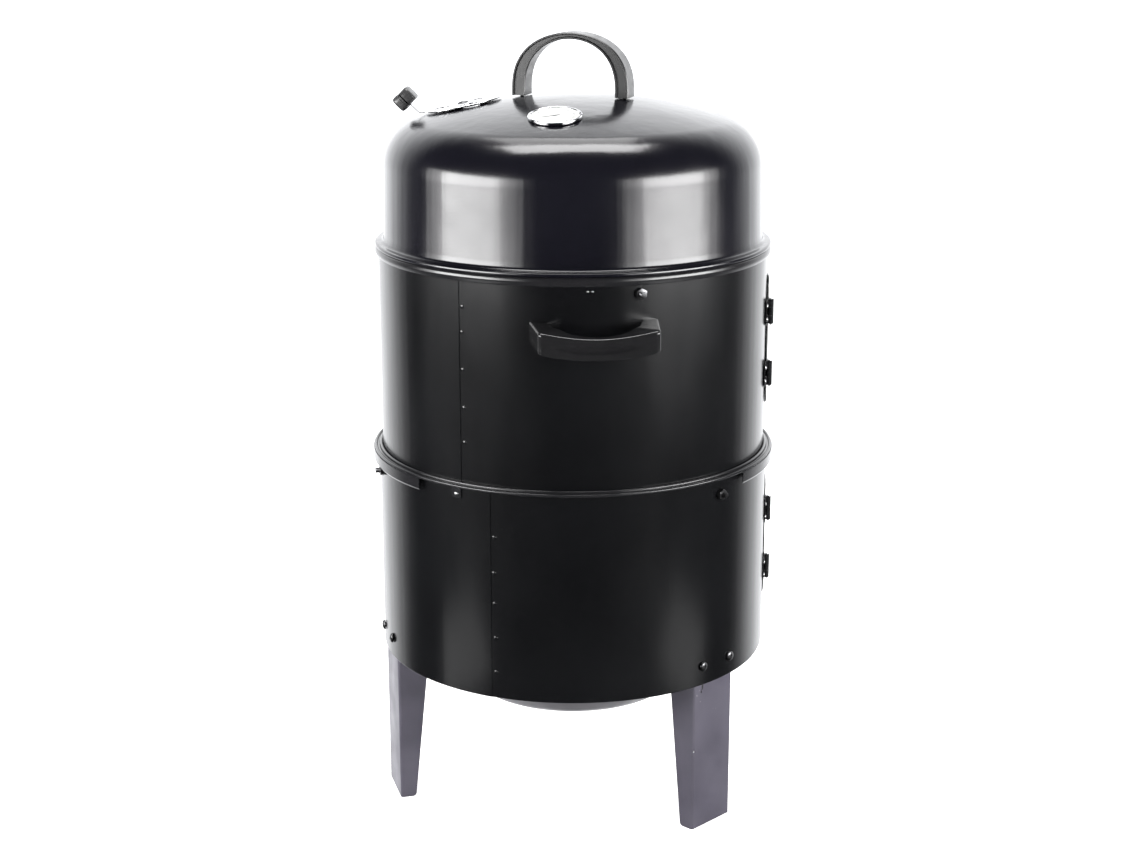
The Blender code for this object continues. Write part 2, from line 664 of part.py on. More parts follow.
def latch(name, spindle, radius, door_body):
    """Twist latch: a grip and collar outside the door, a spindle, and a tongue that turns behind the wall."""
    latch_body = group(name.replace("door_latch", "latch"), spindle, door_body)
    wall_inner = (radius - SHEET) * FACET
    swing = LATCH_REACH + LATCH_SPINDLE
    tongue_face = math.sqrt(wall_inner**2 - swing**2) - (radius + DOOR_GAP) - GAP
    tongue_back = tongue_face - SHEET * 1.5
    collar_seat = SHEET + GAP
    collar_top = collar_seat + SHEET * 2
    length, width, height = LATCH_GRIP
    made = rod(name, LATCH_SPINDLE, tongue_back + SHEET / 2, collar_top, spindle, 12)
    collar = rod("collar", LATCH_COLLAR, collar_seat, collar_top, spindle, 16)
    grip_low = (-width / 2, -collar_top - height, -length / 2)
    grip = box("grip", grip_low, (width / 2, -collar_top + SHEET, length / 2), spindle)
    tongue_low = (-LATCH_TONGUE, -tongue_face, -LATCH_REACH)
    tongue = box("tongue", tongue_low, (LATCH_TONGUE, -tongue_back, LATCH_TONGUE), spindle)
    finish(unite(made, collar, grip, tongue), latch_body, "black_plastic")


# ---- Grates, pan and bowl ----
def grate(name, radius, rest_z, body):
    """Round cooking grate: an edge ring and parallel wires across it, welded into one piece."""
    ring_radius = radius - GRATE_WIRE
    height = rest_z + GRATE_WIRE
    section = arc((ring_radius, height), GRATE_WIRE, 0, 300, 5)
    made = turned(name, section)
    count = int(ring_radius / GRATE_PITCH)
    wires = []
    for i in range(-count, count + 1):
        x = i * GRATE_PITCH
        half = math.sqrt(ring_radius**2 - x**2)
        place = Matrix.Translation((x, 0, height))
        wires.append(rod("wire", GRATE_WIRE * 0.9, -half, half, place, 6))
    finish(unite(made, *wires), body, "bright_steel")


def water_pan(rest_z, body):
    """Drawn pan whose rim lies on the lower shelves of the brackets."""
    riser = bracket_face(LOWER_INNER) - GRATE_SHELF - BRACKET_SHEET
    rim_radius = riser - PAN_RIM_GAP
    wall_top = riser - PAN_SHELF - PAN_RIM_GAP
    floor_radius = wall_top - PAN_WALL_LEAN
    top = rest_z + SHEET
    floor = top - PAN_DEPTH
    bend = 3 * SHEET
    profile = [
        (rim_radius, rest_z),
        (rim_radius, top),
        (wall_top - SHEET, top),
        (floor_radius - SHEET, floor + bend),
        (floor_radius - SHEET - bend, floor),
        (0, floor),
        (0, floor - SHEET),
        (floor_radius - bend, floor - SHEET),
        (floor_radius, floor + bend),
        (wall_top, rest_z),
    ]
    finish(turned("water_pan", profile, segments=VESSEL_SEGMENTS), body, "black_enamel")


def charcoal_bowl(body):
    """Deep bowl whose rim lies on the tops of the legs and whose floor hangs below the barrel."""
    floor = LEG_SHOW - BOWL_DROP
    rest = LEG_TOP + GAP
    throat = LEG_FACE - LEG_FLANGE - 2 * GAP - BOWL_SHEET
    bend_r = BOWL_FLOOR_RADIUS + BOWL_FILLET * 0.45
    bend_z = floor + BOWL_FILLET * 0.28
    wall_r = BOWL_FLOOR_RADIUS + BOWL_FILLET
    wall_z = floor + BOWL_FILLET
    profile = [
        (throat + BOWL_RIM, rest),
        (throat + BOWL_RIM, rest + BOWL_SHEET),
        (throat - BOWL_SHEET, rest + BOWL_SHEET),
        (wall_r - BOWL_SHEET, wall_z + BOWL_SHEET / 2),
        (bend_r - BOWL_SHEET / 2, bend_z + BOWL_SHEET),
        (BOWL_FLOOR_RADIUS - BOWL_SHEET / 4, floor + BOWL_SHEET),
        (0, floor + BOWL_SHEET),
        (0, floor),
        (BOWL_FLOOR_RADIUS, floor),
        (bend_r, bend_z),
        (wall_r, wall_z),
        (throat, rest),
    ]
    bowl = turned("charcoal_bowl", profile, segments=VESSEL_SEGMENTS)
    places = [station(360 * i / BOWL_HOLES, BOWL_HOLE_CIRCLE, floor) for i in range(BOWL_HOLES)]
    holes = [drum("hole", BOWL_HOLE_RADIUS, -CUT_REACH, CUT_REACH, place) for place in places]
    finish(cut(bowl, *holes), body, "bowl_steel")


# ---- Side handles ----
def handle_path(half, foot, front):
    """Plan of the handle from its right foot to its left one, with the middle point at the front."""
    bend = arc((half - HANDLE_BEND, front - HANDLE_BEND), HANDLE_BEND, 0, 90, 4)
    right = [(half, -foot)] + [(x, -y) for x, y in bend]
    return right + [(0, -front)] + [(-x, y) for x, y in right[::-1]]


def handle_section(centre, across, sag):
    """Chamfered rectangular section of the handle, across its plan path."""
    flat = HANDLE_THICK / 2
    tall = HANDLE_TALL / 2
    chamfer = HANDLE_THICK / 4
    quarter = [(flat, tall - chamfer), (flat - chamfer, tall)]
    upper = quarter + [(-u, v) for u, v in quarter[::-1]]
    corners = upper + [(u, -v) for u, v in upper[::-1]]
    return [(*(centre + across * u), v + sag) for u, v in corners]


def side_handle(side, azimuth, body):
    """Bail handle that droops at its middle, screwed on from inside. Returns the screws' places."""
    seat = BARREL_RADIUS + GAP
    half = HANDLE_SPAN / 2 - HANDLE_THICK / 2
    front = BARREL_RADIUS + HANDLE_OUT - HANDLE_THICK / 2
    path = handle_path(half, math.sqrt(seat**2 - half**2), front)
    sections = []
    for i, (x, y) in enumerate(path):
        before = Vector(path[max(i - 1, 0)])
        after = Vector(path[min(i + 1, len(path) - 1)])
        along = (after - before).normalized()
        across = Vector((-along.y, along.x))
        sag = -HANDLE_DROOP * (1 - (x / half) ** 2)
        sections.append(handle_section(Vector((x, y)), across, sag))
    for end in (0, -1):
        sections[end] = [(x, -math.sqrt(seat**2 - x**2), z) for x, _, z in sections[end]]
    turn = Matrix.Rotation(math.radians(azimuth), 4, "Z")
    made = loft(f"{side}_handle", sections, turn @ Matrix.Translation((0, 0, HANDLE_Z)))
    screw_azimuth = math.degrees(math.asin(half / (seat + SCREW_BITE / 2)))
    head_seat = UPPER_INNER * FACET - GAP
    for end, sign in (("left", -1), ("right", 1)):
        place = station(azimuth + sign * screw_azimuth, 0, HANDLE_Z)
        cut(made, rod("bore", SCREW_RADIUS + HOLE_GAP, seat - SHEET, seat + SCREW_BITE + GAP, place))
        screw(f"{side}_handle_screw_{end}", place @ OUTWARD, body, head_seat, seat + SCREW_BITE)
    finish(made, body, "black_plastic")
    return [station(azimuth + sign * screw_azimuth, BARREL_RADIUS, HANDLE_Z) for sign in (-1, 1)]


def upper_barrel_shell(body, handle_places):
    holes = bolt_holes(UPPER_BRACKET_AZIMUTHS, BARREL_RADIUS, UPPER_BOLT_Z)
    holes += [hole_cutter(SCREW_RADIUS + HOLE_GAP, place) for place in handle_places]
    window = door_window(BARREL_RADIUS, UPPER_DOOR_AZIMUTH, UPPER_DOOR_Z)
    shell = barrel("upper_shell", BARREL_RADIUS, UPPER_FOOT, UPPER_TOP, window, holes)
    finish(shell, body, "black_enamel")


# ---- Lid ----
def dome_height(radius):
    return DOME_CENTRE_Z + math.sqrt(LID_DOME**2 - radius**2)


def facet_height(radius):
    """Height of the lid's top between two of its dome rings, which straight lines join."""
    inner = max(ring for ring in DOME_RINGS if ring <= radius)
    outer = min(ring for ring in DOME_RINGS if ring > radius)
    share = (radius - inner) / (outer - inner)
    return dome_height(inner) + share * (dome_height(outer) - dome_height(inner))


def lid_face(rim, depth):
    """One face of the lid's sheet from its rim to its crown, this deep below the outside."""
    shoulder = arc((SHOULDER_CENTRE_R, SHOULDER_CENTRE_Z), LID_SHOULDER - depth, 0, SHOULDER_END, 5)
    dome = [(radius, dome_height(radius) - depth) for radius in DOME_RINGS[1:]]
    return rim + shoulder + dome


def lid_shell(body, holes):
    """Drawn lid with a thick rim, a nearly upright wall, a round shoulder and a shallow dome."""
    rim_outer = BARREL_RADIUS + TOP_BAND_OUT
    rim_top = LID_BASE + LID_RIM_HEIGHT
    wall_inner = LID_WALL - SHEET
    outside = lid_face([(rim_outer, LID_BASE), (rim_outer, rim_top), (LID_WALL, rim_top + 2 * SHEET)], 0)
    inside = lid_face([(wall_inner, LID_BASE), (wall_inner, rim_top)], SHEET)
    shell = turned("lid_shell", outside + inside[::-1])
    finish(cut(shell, *holes), body, "black_enamel")


def dome_hole(radius, place, sides=12):
    """Cutter along the frame's Z through the lid."""
    return drum("hole", radius, -CUT_REACH, CUT_REACH, place, sides)


def arch(half, foot, spring, top):
    """One face of the lid handle, from its right foot over the top to its left one."""
    steps = 10
    turns = [math.pi * i / steps for i in range(steps + 1)]
    over = [(half * math.cos(t), spring + (top - spring) * math.sin(t) ** ARCH_FULLNESS) for t in turns]
    return [(half, foot)] + over + [(-half, foot)]


def lid_handle(body):
    """Arched strap handle, thin over the top and thicker at its feet. Returns cutters for its screws."""
    half = LID_HANDLE_SPAN / 2
    inner_half = half - LID_HANDLE_FOOT_THICK
    foot_middle = half - LID_HANDLE_FOOT_THICK / 2
    top = LID_CROWN + LID_HANDLE_HEIGHT
    spring = dome_height(half) + LID_HANDLE_HEIGHT * LID_HANDLE_SPRING
    foot = dome_height(inner_half) + GAP
    outline = arch(half, foot, spring, top) + arch(inner_half, foot, spring, top - LID_HANDLE_TOP_THICK)[::-1]
    turn = Matrix.Rotation(math.radians(LID_TURN), 4, "Z")
    made = prism("lid_handle", outline, -LID_HANDLE_DEPTH / 2, LID_HANDLE_DEPTH / 2, "Y", turn)
    bore = SCREW_RADIUS + HOLE_GAP
    seat = facet_height(foot_middle + SCREW_HEAD_RADIUS) - SHEET - HOLE_GAP
    holes = []
    for end, sign in (("left", -1), ("right", 1)):
        place = turn @ Matrix.Translation((sign * foot_middle, 0, 0))
        cut(made, drum("bore", bore, foot - SHEET, foot + SCREW_BITE + GAP, place))
        screw(f"lid_handle_screw_{end}", place, body, seat, foot + SCREW_BITE)
        holes.append(dome_hole(bore, place @ Matrix.Translation((0, 0, dome_height(foot_middle)))))
    finish(made, body, "black_plastic")
    return holes


def thermometer(body):
    """Dial thermometer: a chrome case with its stem, and a white dial. Returns the cutter for the stem."""
    place = dome_station(GAUGE_AZIMUTH, GAUGE_R)
    window = GAUGE_RADIUS - GAUGE_LIP
    profile = [
        (0, GAUGE_RECESS),
        (window, GAUGE_RECESS),
        (window, GAP + GAUGE_HEIGHT),
        (GAUGE_RADIUS - GAUGE_LIP / 3, GAP + GAUGE_HEIGHT),
        (GAUGE_RADIUS, GAP + GAUGE_HEIGHT * 0.6),
        (GAUGE_RADIUS, GAP),
        (GAUGE_STEM_RADIUS, GAP),
        (GAUGE_STEM_RADIUS, GAP - GAUGE_STEM),
        (0, GAP - GAUGE_STEM - GAUGE_STEM_RADIUS),
    ]
    finish(turned("thermometer_case", profile, place, 24), body, "chrome")
    dial_base = GAUGE_RECESS + GAP
    dial = drum("thermometer_dial", window - GAP, dial_base, dial_base + SHEET / 2, place, 24)
    finish(dial, body, "dial_white")
    return [dome_hole(GAUGE_STEM_RADIUS + HOLE_GAP, place)]


def vent(body):
    """Chrome damper on a rivet, over holes in the lid, turned by its knob. Returns cutters for the lid."""
    place = dome_station(VENT_AZIMUTH, VENT_R)
    damper = group("vent_damper", place, body)
    top = GAP + SHEET
    disc = unite(drum("vent_disc", VENT_RADIUS, GAP, top, place, 32), vent_tab(place))
    finish(cut(disc, *vent_holes(place)), damper, "chrome")
    rivet = [
        (0, top + GAP + 2 * SHEET),
        (VENT_HEAD_RADIUS * 0.7, top + GAP + 1.5 * SHEET),
        (VENT_HEAD_RADIUS, top + GAP),
        (VENT_PIVOT_RADIUS, top + GAP),
        (VENT_PIVOT_RADIUS, -2 * SHEET),
        (VENT_HEAD_RADIUS, -2 * SHEET),
        (VENT_HEAD_RADIUS, -4 * SHEET),
        (0, -4 * SHEET),
    ]
    finish(turned("vent_rivet", rivet, place, 12), body, "dark_fastener")
    vent_knob(place, damper)
    return vent_holes(place)


def vent_holes(place):
    """Cutters for the rivet's hole and the ring of vent holes, alike in the lid and the damper."""
    holes = [dome_hole(VENT_PIVOT_RADIUS + HOLE_GAP, place)]
    for i in range(VENT_HOLES):
        turn = math.radians(VENT_HOLES_FROM + 360 * i / VENT_HOLES)
        offset = (VENT_HOLE_CIRCLE * math.sin(turn), VENT_HOLE_CIRCLE * math.cos(turn), 0)
        holes.append(dome_hole(VENT_HOLE_RADIUS, place @ Matrix.Translation(offset)))
    return holes


def vent_tab(place):
    """Strip that leaves the disc's outer edge and bends up."""
    angle = math.radians(VENT_TAB_ANGLE)
    root = VENT_RADIUS - VENT_HEAD_RADIUS / 2
    bend = VENT_RADIUS + VENT_TAB_RUN
    tip = (-bend - math.cos(angle) * VENT_TAB_LENGTH, GAP + math.sin(angle) * VENT_TAB_LENGTH)
    outline = sheet_outline([tip, (-bend, GAP), (-root, GAP)], SHEET)
    return prism("tab", outline, -VENT_TAB_WIDTH / 2, VENT_TAB_WIDTH / 2, "X", place)


def vent_knob(place, damper):
    """Plastic knob pushed on to the tab's end. In its frame +Z runs along the tab."""
    angle = math.radians(VENT_TAB_ANGLE)
    grip_start = VENT_TAB_LENGTH - KNOB_BITE
    bend = Matrix.Translation((0, -VENT_RADIUS - VENT_TAB_RUN, GAP))
    lean = Matrix.Rotation(math.pi / 2 - angle, 4, "X")
    frame = place @ bend @ lean @ Matrix.Translation((0, 0, grip_start))
    length, thick, tall = KNOB_SIZE
    half = length / 2
    corner = thick / 3
    low = [(-half, corner), (corner - half, 0), (half - corner, 0), (half, corner)]
    outline = low + [(x, tall - z) for x, z in low[::-1]]
    knob = prism("vent_knob", outline, -thick / 2, thick / 2, "Y", frame)
    slot_low = (-VENT_TAB_WIDTH / 2 - GAP, -SHEET - 2 * GAP, -SHEET)
    slot_high = (VENT_TAB_WIDTH / 2 + GAP, SHEET + 2 * GAP, KNOB_BITE + 2 * GAP)
    finish(cut(knob, box("slot", slot_low, slot_high, frame)), damper, "black_plastic")


# ---- Assembly ----
def build():
    clear_scene()
    lower = group("lower_barrel", Matrix())
    lower_barrel_shell(lower)
    connecting_ring(lower)
    legs(lower)
    lower_tiers = [(-LOWER_SHELF_DROP, GRATE_SHELF), (-LOWER_SHELF_DROP - PAN_SHELF_DROP, PAN_SHELF)]
    brackets("lower", LEG_AZIMUTHS, LOWER_INNER, LOWER_TOP, LOWER_BOLT_Z, lower_tiers, lower)
    door("lower", LOWER_RADIUS, LOWER_DOOR_AZIMUTH, LOWER_DOOR_Z, lower)

    upper = group("upper_barrel", Matrix(), lower)
    handle_places = side_handle("front", 0, upper) + side_handle("rear", 180, upper)
    upper_barrel_shell(upper, handle_places)
    top_ring(upper)
    upper_tiers = [(-UPPER_SHELF_DROP, GRATE_SHELF)]
    brackets("upper", UPPER_BRACKET_AZIMUTHS, UPPER_INNER, UPPER_TOP, UPPER_BOLT_Z, upper_tiers, upper)
    door("upper", BARREL_RADIUS, UPPER_DOOR_AZIMUTH, UPPER_DOOR_Z, upper)

    lid = group("lid", Matrix(), upper)
    lid_holes = lid_handle(lid) + thermometer(lid) + vent(lid)
    lid_shell(lid, lid_holes)

    lower_grate_z = LOWER_TOP - LOWER_SHELF_DROP + GAP
    upper_grate_z = UPPER_TOP - UPPER_SHELF_DROP + GAP
    grate("lower_grate", LOWER_INNER - GRATE_INSET - BARREL_STEP, lower_grate_z,
          group("lower_grate_body", Matrix(), lower))
    grate("upper_grate", UPPER_INNER - GRATE_INSET, upper_grate_z, group("upper_grate_body", Matrix(), upper))
    water_pan(lower_grate_z - PAN_SHELF_DROP, group("water_pan_body", Matrix(), lower))
    charcoal_bowl(group("charcoal_bowl_body", Matrix(), lower))


build()
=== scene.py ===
"""Looks of the upright charcoal smoker: fine meshes, materials, studio and camera round the CAD frame."""

import json
import math

import bmesh
import bpy
from mathutils import Matrix, Vector


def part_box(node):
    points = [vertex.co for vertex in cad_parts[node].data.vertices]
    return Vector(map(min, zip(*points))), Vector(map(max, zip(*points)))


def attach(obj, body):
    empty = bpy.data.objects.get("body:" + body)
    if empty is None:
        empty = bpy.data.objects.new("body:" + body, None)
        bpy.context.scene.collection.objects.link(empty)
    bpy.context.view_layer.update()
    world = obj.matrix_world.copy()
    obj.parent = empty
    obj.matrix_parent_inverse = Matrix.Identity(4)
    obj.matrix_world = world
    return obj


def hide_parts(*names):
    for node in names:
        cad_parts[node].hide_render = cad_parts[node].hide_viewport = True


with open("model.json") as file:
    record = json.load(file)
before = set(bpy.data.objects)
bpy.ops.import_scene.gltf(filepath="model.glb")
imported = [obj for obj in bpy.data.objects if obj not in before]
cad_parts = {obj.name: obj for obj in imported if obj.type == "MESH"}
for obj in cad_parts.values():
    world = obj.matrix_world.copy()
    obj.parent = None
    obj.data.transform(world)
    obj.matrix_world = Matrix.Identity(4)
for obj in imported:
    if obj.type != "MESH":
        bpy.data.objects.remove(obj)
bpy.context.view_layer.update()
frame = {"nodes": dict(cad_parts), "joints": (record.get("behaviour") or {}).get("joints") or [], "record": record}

# ---- Sizes that the looks share, in metres and degrees ----
ROUND = 192  # sides of a large round piece
SHEET = 0.0010
LAP_STEP = 0.0007  # one barrel edge over the other at the seam
LAP_FADE = 9.0  # azimuth over which the upper sheet settles back
UPPER_SEAM = -39.0
LOWER_SEAM = -29.3
WELD_RADIUS = 0.0026
UPPER_WELDS = (0.5526, 0.5275, 0.4905, 0.4526, 0.4177)
LOWER_WELDS = (0.3265, 0.2895, 0.2577, 0.2219, 0.1859)
DOOR_LAP = 0.0100
DOOR_CORNER = 0.0120
BOLT_RADIUS = 0.0028
THREAD_PITCH = 0.0010
NUT_RADIUS = 0.0057
NUT_HEIGHT = 0.0045
NUT_STANDOFF = 0.0045
HEAD_HEIGHT = 0.0028
HOLE_RADIUS = 0.0032
LEG_WIDTH = 0.0590
LEG_SHEET = 0.0015
LEG_FLANGE = 0.0330
LEG_FOOT_FLANGE = 0.0170
LEG_FACE_IN = 0.00075  # leg's outer face beyond the foot mount
BRACKET_WIDTH = 0.0180
KNUCKLE_RADIUS = 0.0027
PIN_RADIUS = 0.0014
HINGE_AXIS_OUT = 0.0052
HANDLE_TURN = -22.0
LID_DOME = 0.5500
VENT_RADIUS = 0.0400
VENT_HOLE_RADIUS = 0.0090
VENT_HOLE_CIRCLE = 0.0220
VENT_HOLES_FROM = 60.0
VENT_TAB_WIDTH = 0.0130
VENT_TAB_ANGLE = 56.0
VENT_TAB_LENGTH = 0.0250
KNOB_SIZE = (0.0240, 0.0170, 0.0160)
GAUGE_RADIUS = 0.0265
GAUGE_BEZEL = 0.0030
GAUGE_MARKS_OUT = 0.0200  # radius at which the dial's marks end
GAUGE_SWEEP = 270.0
GAUGE_STEPS = 40
GRATE_PITCH = 0.0135
BOWL_HOLES = 6
CAMERA_AZIMUTH = -6.0
BACK_AZIMUTH = 174.0  # where the pale surround is brightest
SOFTBOX_TURN = 60.0  # side softboxes, measured from the camera
SOFTBOX_DISTANCE = 1.7
SOFTBOX_AIM = (0, 0, 0.72)
GLOW_TURN = 58.0
GLOW_DISTANCE = 0.68

OUTWARD = Matrix.Rotation(math.radians(90), 4, "X")  # takes a piece's +Z to -Y


# ---- Reading the frame ----
def centre(node):
    low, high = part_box(node)
    return (low + high) / 2


def azimuth(point):
    """Degrees from the front (-Y) towards +X."""
    return math.degrees(math.atan2(point.x, -point.y))


def span(node):
    """Lowest and highest azimuth, radius and height of a node that lies on one side of the axis."""
    points = [vertex.co for vertex in frame["nodes"][node].data.vertices]
    middle = azimuth(centre(node))
    turns = [(azimuth(p) - middle + 180) % 360 - 180 + middle for p in points]
    radii = [math.hypot(p.x, p.y) for p in points]
    heights = [p.z for p in points]
    return [(min(row), max(row)) for row in (turns, radii, heights)]


def reach(node, matrix):
    """How far the node goes along the frame's outward direction, from its origin: lowest and highest."""
    inverse = matrix.inverted()
    depths = [-(inverse @ vertex.co).y for vertex in frame["nodes"][node].data.vertices]
    return min(depths), max(depths)


def joint(name):
    return next(j for j in frame["joints"] if j["name"] == name)


def station(turn, radius, z):
    """A frame at this azimuth: -Y points away from the barrels' axis, +X along rising azimuth, +Z up."""
    return Matrix.Rotation(math.radians(turn), 4, "Z") @ Matrix.Translation((0, -radius, z))


def facing(point):
    """A frame on the barrels' axis at this point's height, turned to its azimuth."""
    return Matrix.Rotation(math.radians(azimuth(point)), 4, "Z") @ Matrix.Translation((0, 0, point.z))


# ---- Mesh helpers ----
def arc(centre_point, radius, start, end, steps):
    turns = [math.radians(start + (end - start) * i / steps) for i in range(steps + 1)]
    return [(centre_point[0] + radius * math.cos(t), centre_point[1] + radius * math.sin(t)) for t in turns]


def rounded(points, closed=False, steps=5):
    """A 2D path whose corners (x, y, radius) are replaced by arcs. A corner of two numbers stays sharp."""
    made = []
    count = len(points)
    for i, corner in enumerate(points):
        here = Vector(corner[:2])
        radius = corner[2] if len(corner) > 2 else 0
        if not radius or (not closed and i in (0, count - 1)):
            made.append(tuple(here))
            continue
        before = Vector(points[i - 1][:2]) - here
        after = Vector(points[(i + 1) % count][:2]) - here
        half = before.angle(after) / 2
        run = min(radius / math.tan(half), 0.49 * before.length, 0.49 * after.length)
        middle = here + (before.normalized() + after.normalized()).normalized() * (run / math.cos(half))
        first = here + before.normalized() * run - middle
        last = here + after.normalized() * run - middle
        turn = first.angle_signed(last)
        for k in range(steps + 1):
            a = -turn * k / steps
            made.append((middle.x + first.x * math.cos(a) - first.y * math.sin(a),
                         middle.y + first.x * math.sin(a) + first.y * math.cos(a)))
    return made


def rectangle(wide, tall, corner, steps=5):
    """Outline of a rectangle of these half sizes, with round corners."""
    corners = [(-wide, -tall, corner), (wide, -tall, corner), (wide, tall, corner), (-wide, tall, corner)]
    return rounded(corners, True, steps)


def folded(path, thickness):
    """Closed outline of a folded sheet: the path, and its copy offset to the path's left."""
    points = [Vector(point) for point in path]
    far = []
    for i, point in enumerate(points):
        before = point - points[i - 1] if i else points[1] - point
        after = points[i + 1] - point if i + 1 < len(points) else before
        first = Vector((-before.y, before.x)).normalized()
        second = Vector((-after.y, after.x)).normalized()
        miter = (first + second).normalized()
        far.append(point + miter * (thickness / miter.dot(first)))
    return [tuple(point) for point in points + far[::-1]]


def mesh_object(name, bm, matrix=None, sharp=38):
    """Closed, outward object from a bmesh, shaded smooth with sharp edges above the angle."""
    bmesh.ops.remove_doubles(bm, verts=bm.verts, dist=1e-6)
    bmesh.ops.recalc_face_normals(bm, faces=bm.faces)
    if bm.calc_volume(signed=True) < 0:
        bmesh.ops.reverse_faces(bm, faces=bm.faces)
    mesh = bpy.data.meshes.new(name)
    bm.to_mesh(mesh)
    bm.free()
    mesh.transform(matrix or Matrix())
    mesh.shade_smooth()
    mesh.set_sharp_from_angle(angle=math.radians(sharp))
    obj = bpy.data.objects.new(name, mesh)
    bpy.context.scene.collection.objects.link(obj)
    return obj


def lathe(name, profile, matrix=None, steps=ROUND, turns=None, offset=None, sharp=38):
    """Spins a closed (radius, z) outline round Z: a full turn, or through the azimuths of a partial one.

    offset(azimuth) may move a point outward.
    """
    full = turns is None or abs(turns[-1] - turns[0]) > 359
    turns = turns or [360 * i / steps for i in range(steps)]
    bm = bmesh.new()
    rings = []
    for radius, z in profile:
        if radius < 1e-6:
            rings.append([bm.verts.new((0, 0, z))] * len(turns))
            continue
        ring = []
        for turn in turns:
            r = radius + (offset(turn) if offset else 0)
            a = math.radians(turn)
            ring.append(bm.verts.new((r * math.sin(a), -r * math.cos(a), z)))
        rings.append(ring)
    columns = len(turns) if full else len(turns) - 1
    for low, high in zip(rings, rings[1:] + rings[:1]):
        for i in range(columns):
            k = (i + 1) % len(turns)
            corners = list(dict.fromkeys((low[i], low[k], high[k], high[i])))
            if len(corners) > 2:
                bm.faces.new(corners)
    if not full:
        bm.faces.new([ring[0] for ring in rings])
        bm.faces.new([ring[-1] for ring in rings][::-1])
    return mesh_object(name, bm, matrix, sharp)


def loft(name, sections, matrix=None, sharp=38, caps=True):
    """Skins a row of sections of as many points each. Without caps, the last section joins the first."""
    bm = bmesh.new()
    rows = [[bm.verts.new(point) for point in section] for section in sections]
    count = len(rows[0])
    for low, high in zip(rows, rows[1:] if caps else rows[1:] + rows[:1]):
        for i in range(count):
            bm.faces.new((low[i], low[(i + 1) % count], high[(i + 1) % count], high[i]))
    if caps:
        bm.faces.new(rows[0][::-1])
        bm.faces.new(rows[-1])
    return mesh_object(name, bm, matrix, sharp)


def prism(name, outline, low, high, across, matrix=None, edge=0.0):
    """Extrudes a 2D outline along the named axis, with its two rims chamfered by edge."""
    place = {
        "X": lambda u, v, w: (w, u, v),
        "Y": lambda u, v, w: (u, w, v),
        "Z": lambda u, v, w: (u, v, w),
    }[across]
    levels = [(low, edge), (low + edge, 0), (high - edge, 0), (high, edge)] if edge else [(low, 0), (high, 0)]
    middle = sum((Vector(point) for point in outline), Vector((0, 0))) / len(outline)
    sections = []
    for w, inset in levels:
        ring = []
        for point in outline:
            inward = middle - Vector(point)
            u, v = Vector(point) + inward.normalized() * min(inset, inward.length / 2)
            ring.append(place(u, v, w))
        sections.append(ring)
    return loft(name, sections, matrix)


def block(low, high, matrix=None):
    bm = bmesh.new()
    size = Vector(high) - Vector(low)
    middle = (Vector(high) + Vector(low)) / 2
    place = Matrix.Translation(middle) @ Matrix.Diagonal((*size, 1))
    bmesh.ops.create_cube(bm, size=1.0, matrix=place)
    return mesh_object("block", bm, matrix)


def drum(radius, low, high, matrix=None, sides=48):
    return lathe("drum", [(0, low), (radius, low), (radius, high), (0, high)], matrix, sides)


def join(target, *others):
    """Puts the other meshes into the target's, which keeps its name."""
    bm = bmesh.new()
    for obj in (target, *others):
        bm.from_mesh(obj.data)
    bm.to_mesh(target.data)
    bm.free()
    for other in others:
        bpy.data.objects.remove(other, do_unlink=True)
    return target


def cut(target, *cutters):
    """Takes the cutters out of the target with one exact Boolean each, then removes them."""
    for cutter in cutters:
        modifier = target.modifiers.new("Cut", "BOOLEAN")
        modifier.operation = "DIFFERENCE"
        modifier.solver = "EXACT"
        modifier.object = cutter
    bpy.context.view_layer.update()
    graph = bpy.context.evaluated_depsgraph_get()
    mesh = bpy.data.meshes.new_from_object(target.evaluated_get(graph))
    target.modifiers.clear()
    target.data = mesh
    mesh.set_sharp_from_angle(angle=math.radians(38))
    for cutter in cutters:
        bpy.data.objects.remove(cutter, do_unlink=True)
    return target


def wall_normals(obj):
    """Gives upright wall faces the exact normals of a round barrel, so that cut faces still shade evenly."""
    mesh = obj.data
    normals = []
    for polygon in mesh.polygons:
        for index in polygon.loop_indices:
            point = mesh.vertices[mesh.loops[index].vertex_index].co
            out = Vector((point.x, point.y, 0)).normalized()
            side = polygon.normal.dot(out)
            upright = abs(polygon.normal.z) < 0.02 and abs(side) > 0.97
            normals.append(out * math.copysign(1, side) if upright else Vector())
    mesh.normals_split_custom_set(normals)


def bevelled(obj, width, segments=2, angle=30):
    modifier = obj.modifiers.new("Soft edges", "BEVEL")
    modifier.width = width
    modifier.segments = segments
    modifier.limit_method = "ANGLE"
    modifier.angle_limit = math.radians(angle)
    modifier.harden_normals = True
    return obj


def wear(obj, body, slot, look, *nodes):
    """Material, body and the CAD nodes that the piece stands for. The record slot is not used."""
    obj.data.materials.clear()
    obj.data.materials.append(LOOKS[look])
    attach(obj, body)
    if nodes:
        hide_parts(*nodes)
    return obj


